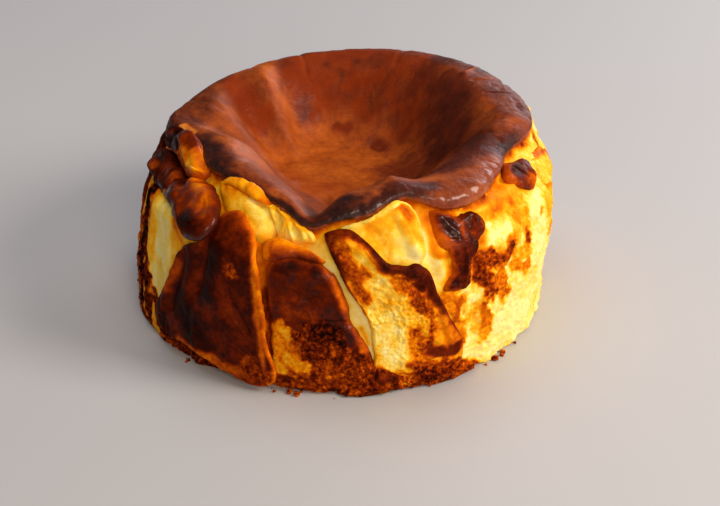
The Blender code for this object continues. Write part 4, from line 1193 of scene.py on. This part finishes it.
def crust_material():
    material, tree = new_material("burnt_caramel_crust")
    place = add_node(tree, "ShaderNodeTexCoord").outputs["Object"]
    bake = add_node(tree, "ShaderNodeAttribute", attribute_name="bake").outputs["Fac"]
    amber = add_node(tree, "ShaderNodeAttribute", attribute_name="amber").outputs["Fac"]
    rim = add_node(tree, "ShaderNodeAttribute", attribute_name="rim").outputs["Fac"]
    gloss = add_node(tree, "ShaderNodeAttribute", attribute_name="gloss").outputs["Fac"]
    mottle = add_node(tree, "ShaderNodeTexNoise", {"Vector": place, "Scale": 1 / (9 * MM), "Detail": 5.0,
                                                   "Roughness": 0.62})
    speck = add_node(tree, "ShaderNodeTexNoise", {"Vector": place, "Scale": 1 / (2.2 * MM), "Detail": 4.0,
                                                  "Roughness": 0.65})
    uneven = add_node(tree, "ShaderNodeMath", {0: mottle.outputs["Fac"], 1: 0.5}, operation="SUBTRACT")
    broken = add_node(tree, "ShaderNodeMath", {0: speck.outputs["Fac"], 1: 0.5}, operation="SUBTRACT")
    step_one = add_node(tree, "ShaderNodeMath", {0: uneven.outputs[0], 1: 0.50, 2: bake},
                        operation="MULTIPLY_ADD")
    step_two = add_node(tree, "ShaderNodeMath", {0: broken.outputs[0], 1: 0.28, 2: step_one.outputs[0]},
                        operation="MULTIPLY_ADD")
    brown = fill_ramp(add_node(tree, "ShaderNodeValToRGB", {"Fac": step_two.outputs[0]}), CRUST_STEPS_OF_BAKE)
    tinted = add_node(tree, "ShaderNodeMath", {0: amber, 1: 0.6}, operation="MULTIPLY")
    glow = add_node(tree, "ShaderNodeMix", data_type="RGBA", blend_type="MIX")
    tree.links.new(tinted.outputs[0], glow.inputs["Factor"])
    tree.links.new(brown.outputs["Color"], glow.inputs["A"])
    glow.inputs["B"].default_value = linear(AMBER)
    dull = add_node(tree, "ShaderNodeMapRange", {"Value": amber, "From Min": 0.3, "To Min": 0.52,
                                                 "To Max": 0.3})
    glaze = add_node(tree, "ShaderNodeMapRange", {"Value": gloss, "From Min": 0.1, "From Max": 0.6,
                                                  "To Max": 0.6})
    leather = add_node(tree, "ShaderNodeTexNoise", {"Vector": place, "Scale": 1 / (1.4 * MM), "Detail": 4.0})
    cracks = add_node(tree, "ShaderNodeTexVoronoi", {"Vector": place, "Scale": 1 / (2.4 * MM)},
                      feature="DISTANCE_TO_EDGE")
    crazed = add_node(tree, "ShaderNodeMapRange", {"Value": cracks.outputs["Distance"], "From Max": 0.12})
    crazing = add_node(tree, "ShaderNodeMath", {0: crazed.outputs["Result"], 1: rim}, operation="MULTIPLY")
    relief = add_node(tree, "ShaderNodeMath", {0: crazing.outputs[0], 1: 0.5, 2: leather.outputs["Fac"]},
                      operation="MULTIPLY_ADD")
    bump = add_node(tree, "ShaderNodeBump", {"Height": relief.outputs[0], "Strength": 0.45,
                                             "Distance": 0.5 * MM})
    skin = add_node(tree, "ShaderNodeBsdfPrincipled", {
        "Base Color": glow.outputs[2], "Roughness": dull.outputs["Result"], "Normal": bump.outputs["Normal"],
        "IOR": 1.45, "Subsurface Weight": 0.05, "Subsurface Radius": (1.0, 0.4, 0.2),
        "Subsurface Scale": 1.0 * MM, "Specular IOR Level": 0.32, "Coat Weight": glaze.outputs["Result"],
        "Coat Roughness": 0.18, "Coat IOR": 1.45})
    add_node(tree, "ShaderNodeOutputMaterial", {"Surface": skin.outputs["BSDF"]})
    return material


custard = custard_material()
for piece in [body, crumbs, *flap_pieces]:
    piece.data.materials.append(custard)
crust.data.materials.append(crust_material())

# %% [markdown]
# ## Stage, light and camera
# The floor is a plain pale table that runs far past the view. A soft box at the right is the key light, and a
# weaker, warmer one in front lights the flaps. A wide one overhead only fills, and its mirror image is switched
# off. A low window at the back right gives the crust its grey sheen. The camera is a long lens, 0.68 m from the
# cake, that looks down at 29 degrees.

# %% Floor
bm = bmesh.new()
bmesh.ops.create_grid(bm, x_segments=2, y_segments=2, size=3.0)
floor = finished_object("floor", bm)
table, tree = new_material("matt_table")
paint = add_node(tree, "ShaderNodeBsdfPrincipled", {"Base Color": linear("#B8B7BA"), "Roughness": 0.7})
add_node(tree, "ShaderNodeOutputMaterial", {"Surface": paint.outputs["BSDF"]})
floor.data.materials.append(table)


# %% Lights
def soft_box(name, place, target, width, height, power, colour, mirrored=True):
    lamp = bpy.data.lights.new(name, "AREA")
    lamp.shape = "RECTANGLE"
    lamp.size = width
    lamp.size_y = height
    lamp.energy = power
    lamp.color = linear(colour)[:3]
    holder = bpy.data.objects.new(name, lamp)
    holder.location = place
    holder.rotation_euler = (Vector(target) - Vector(place)).to_track_quat("-Z", "Y").to_euler()
    holder.visible_glossy = mirrored
    bpy.context.scene.collection.objects.link(holder)


MIDDLE = (0.0, 0.0, 0.04)
soft_box("key", (0.95, -0.30, 0.72), MIDDLE, 0.5, 0.5, 13.0, "#FFF3E4")
soft_box("overhead", (-0.15, 0.30, 1.2), MIDDLE, 1.0, 1.0, 7.2, "#F4F4F8", mirrored=False)
soft_box("front_fill", (0.25, -1.15, 0.7), MIDDLE, 0.6, 0.6, 7.6, "#FFECD2")
soft_box("back_window", (0.62, 1.05, 0.36), MIDDLE, 0.7, 0.4, 5.0, "#F0F2FA")
world = bpy.data.worlds.new("room")
world.use_nodes = True
room = world.node_tree.nodes["Background"]
room.inputs["Color"].default_value = linear("#E8E6E4")
room.inputs["Strength"].default_value = 0.13
bpy.context.scene.world = world
bpy.context.scene.view_settings.view_transform = "Standard"

# %% Camera
LENS = 85.0                                       # mm, on a 36 mm wide sensor
EYE = Vector((5.1, -584.3, 341.4)) + Vector(FOOT_CENTRE)
YAW, PITCH, ROLL = 0.289, 29.334, 0.672           # degrees to the right, down, and clockwise

lens = bpy.data.cameras.new("camera")
lens.lens = LENS
lens.sensor_width = 36.0
camera = bpy.data.objects.new("camera", lens)
turned = Matrix.Rotation(-radians(YAW), 4, "Z") @ Matrix.Rotation(radians(90.0 - PITCH), 4, "X")
camera.matrix_world = Matrix.Translation(EYE * MM) @ turned @ Matrix.Rotation(radians(ROLL), 4, "Z")
bpy.context.scene.collection.objects.link(camera)
bpy.context.scene.camera = camera

# %% [markdown]
# ## Hand the pieces to the frame
# Every piece rides on the one body and stands for the plain solid, which is hidden.

# %% Ride on the frame
for piece in [body, crust, crumbs, *flap_pieces]:
    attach(piece, "root")
    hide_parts("cheesecake")


def plain(box):
    return [[float(v) for v in corner] for corner in box]
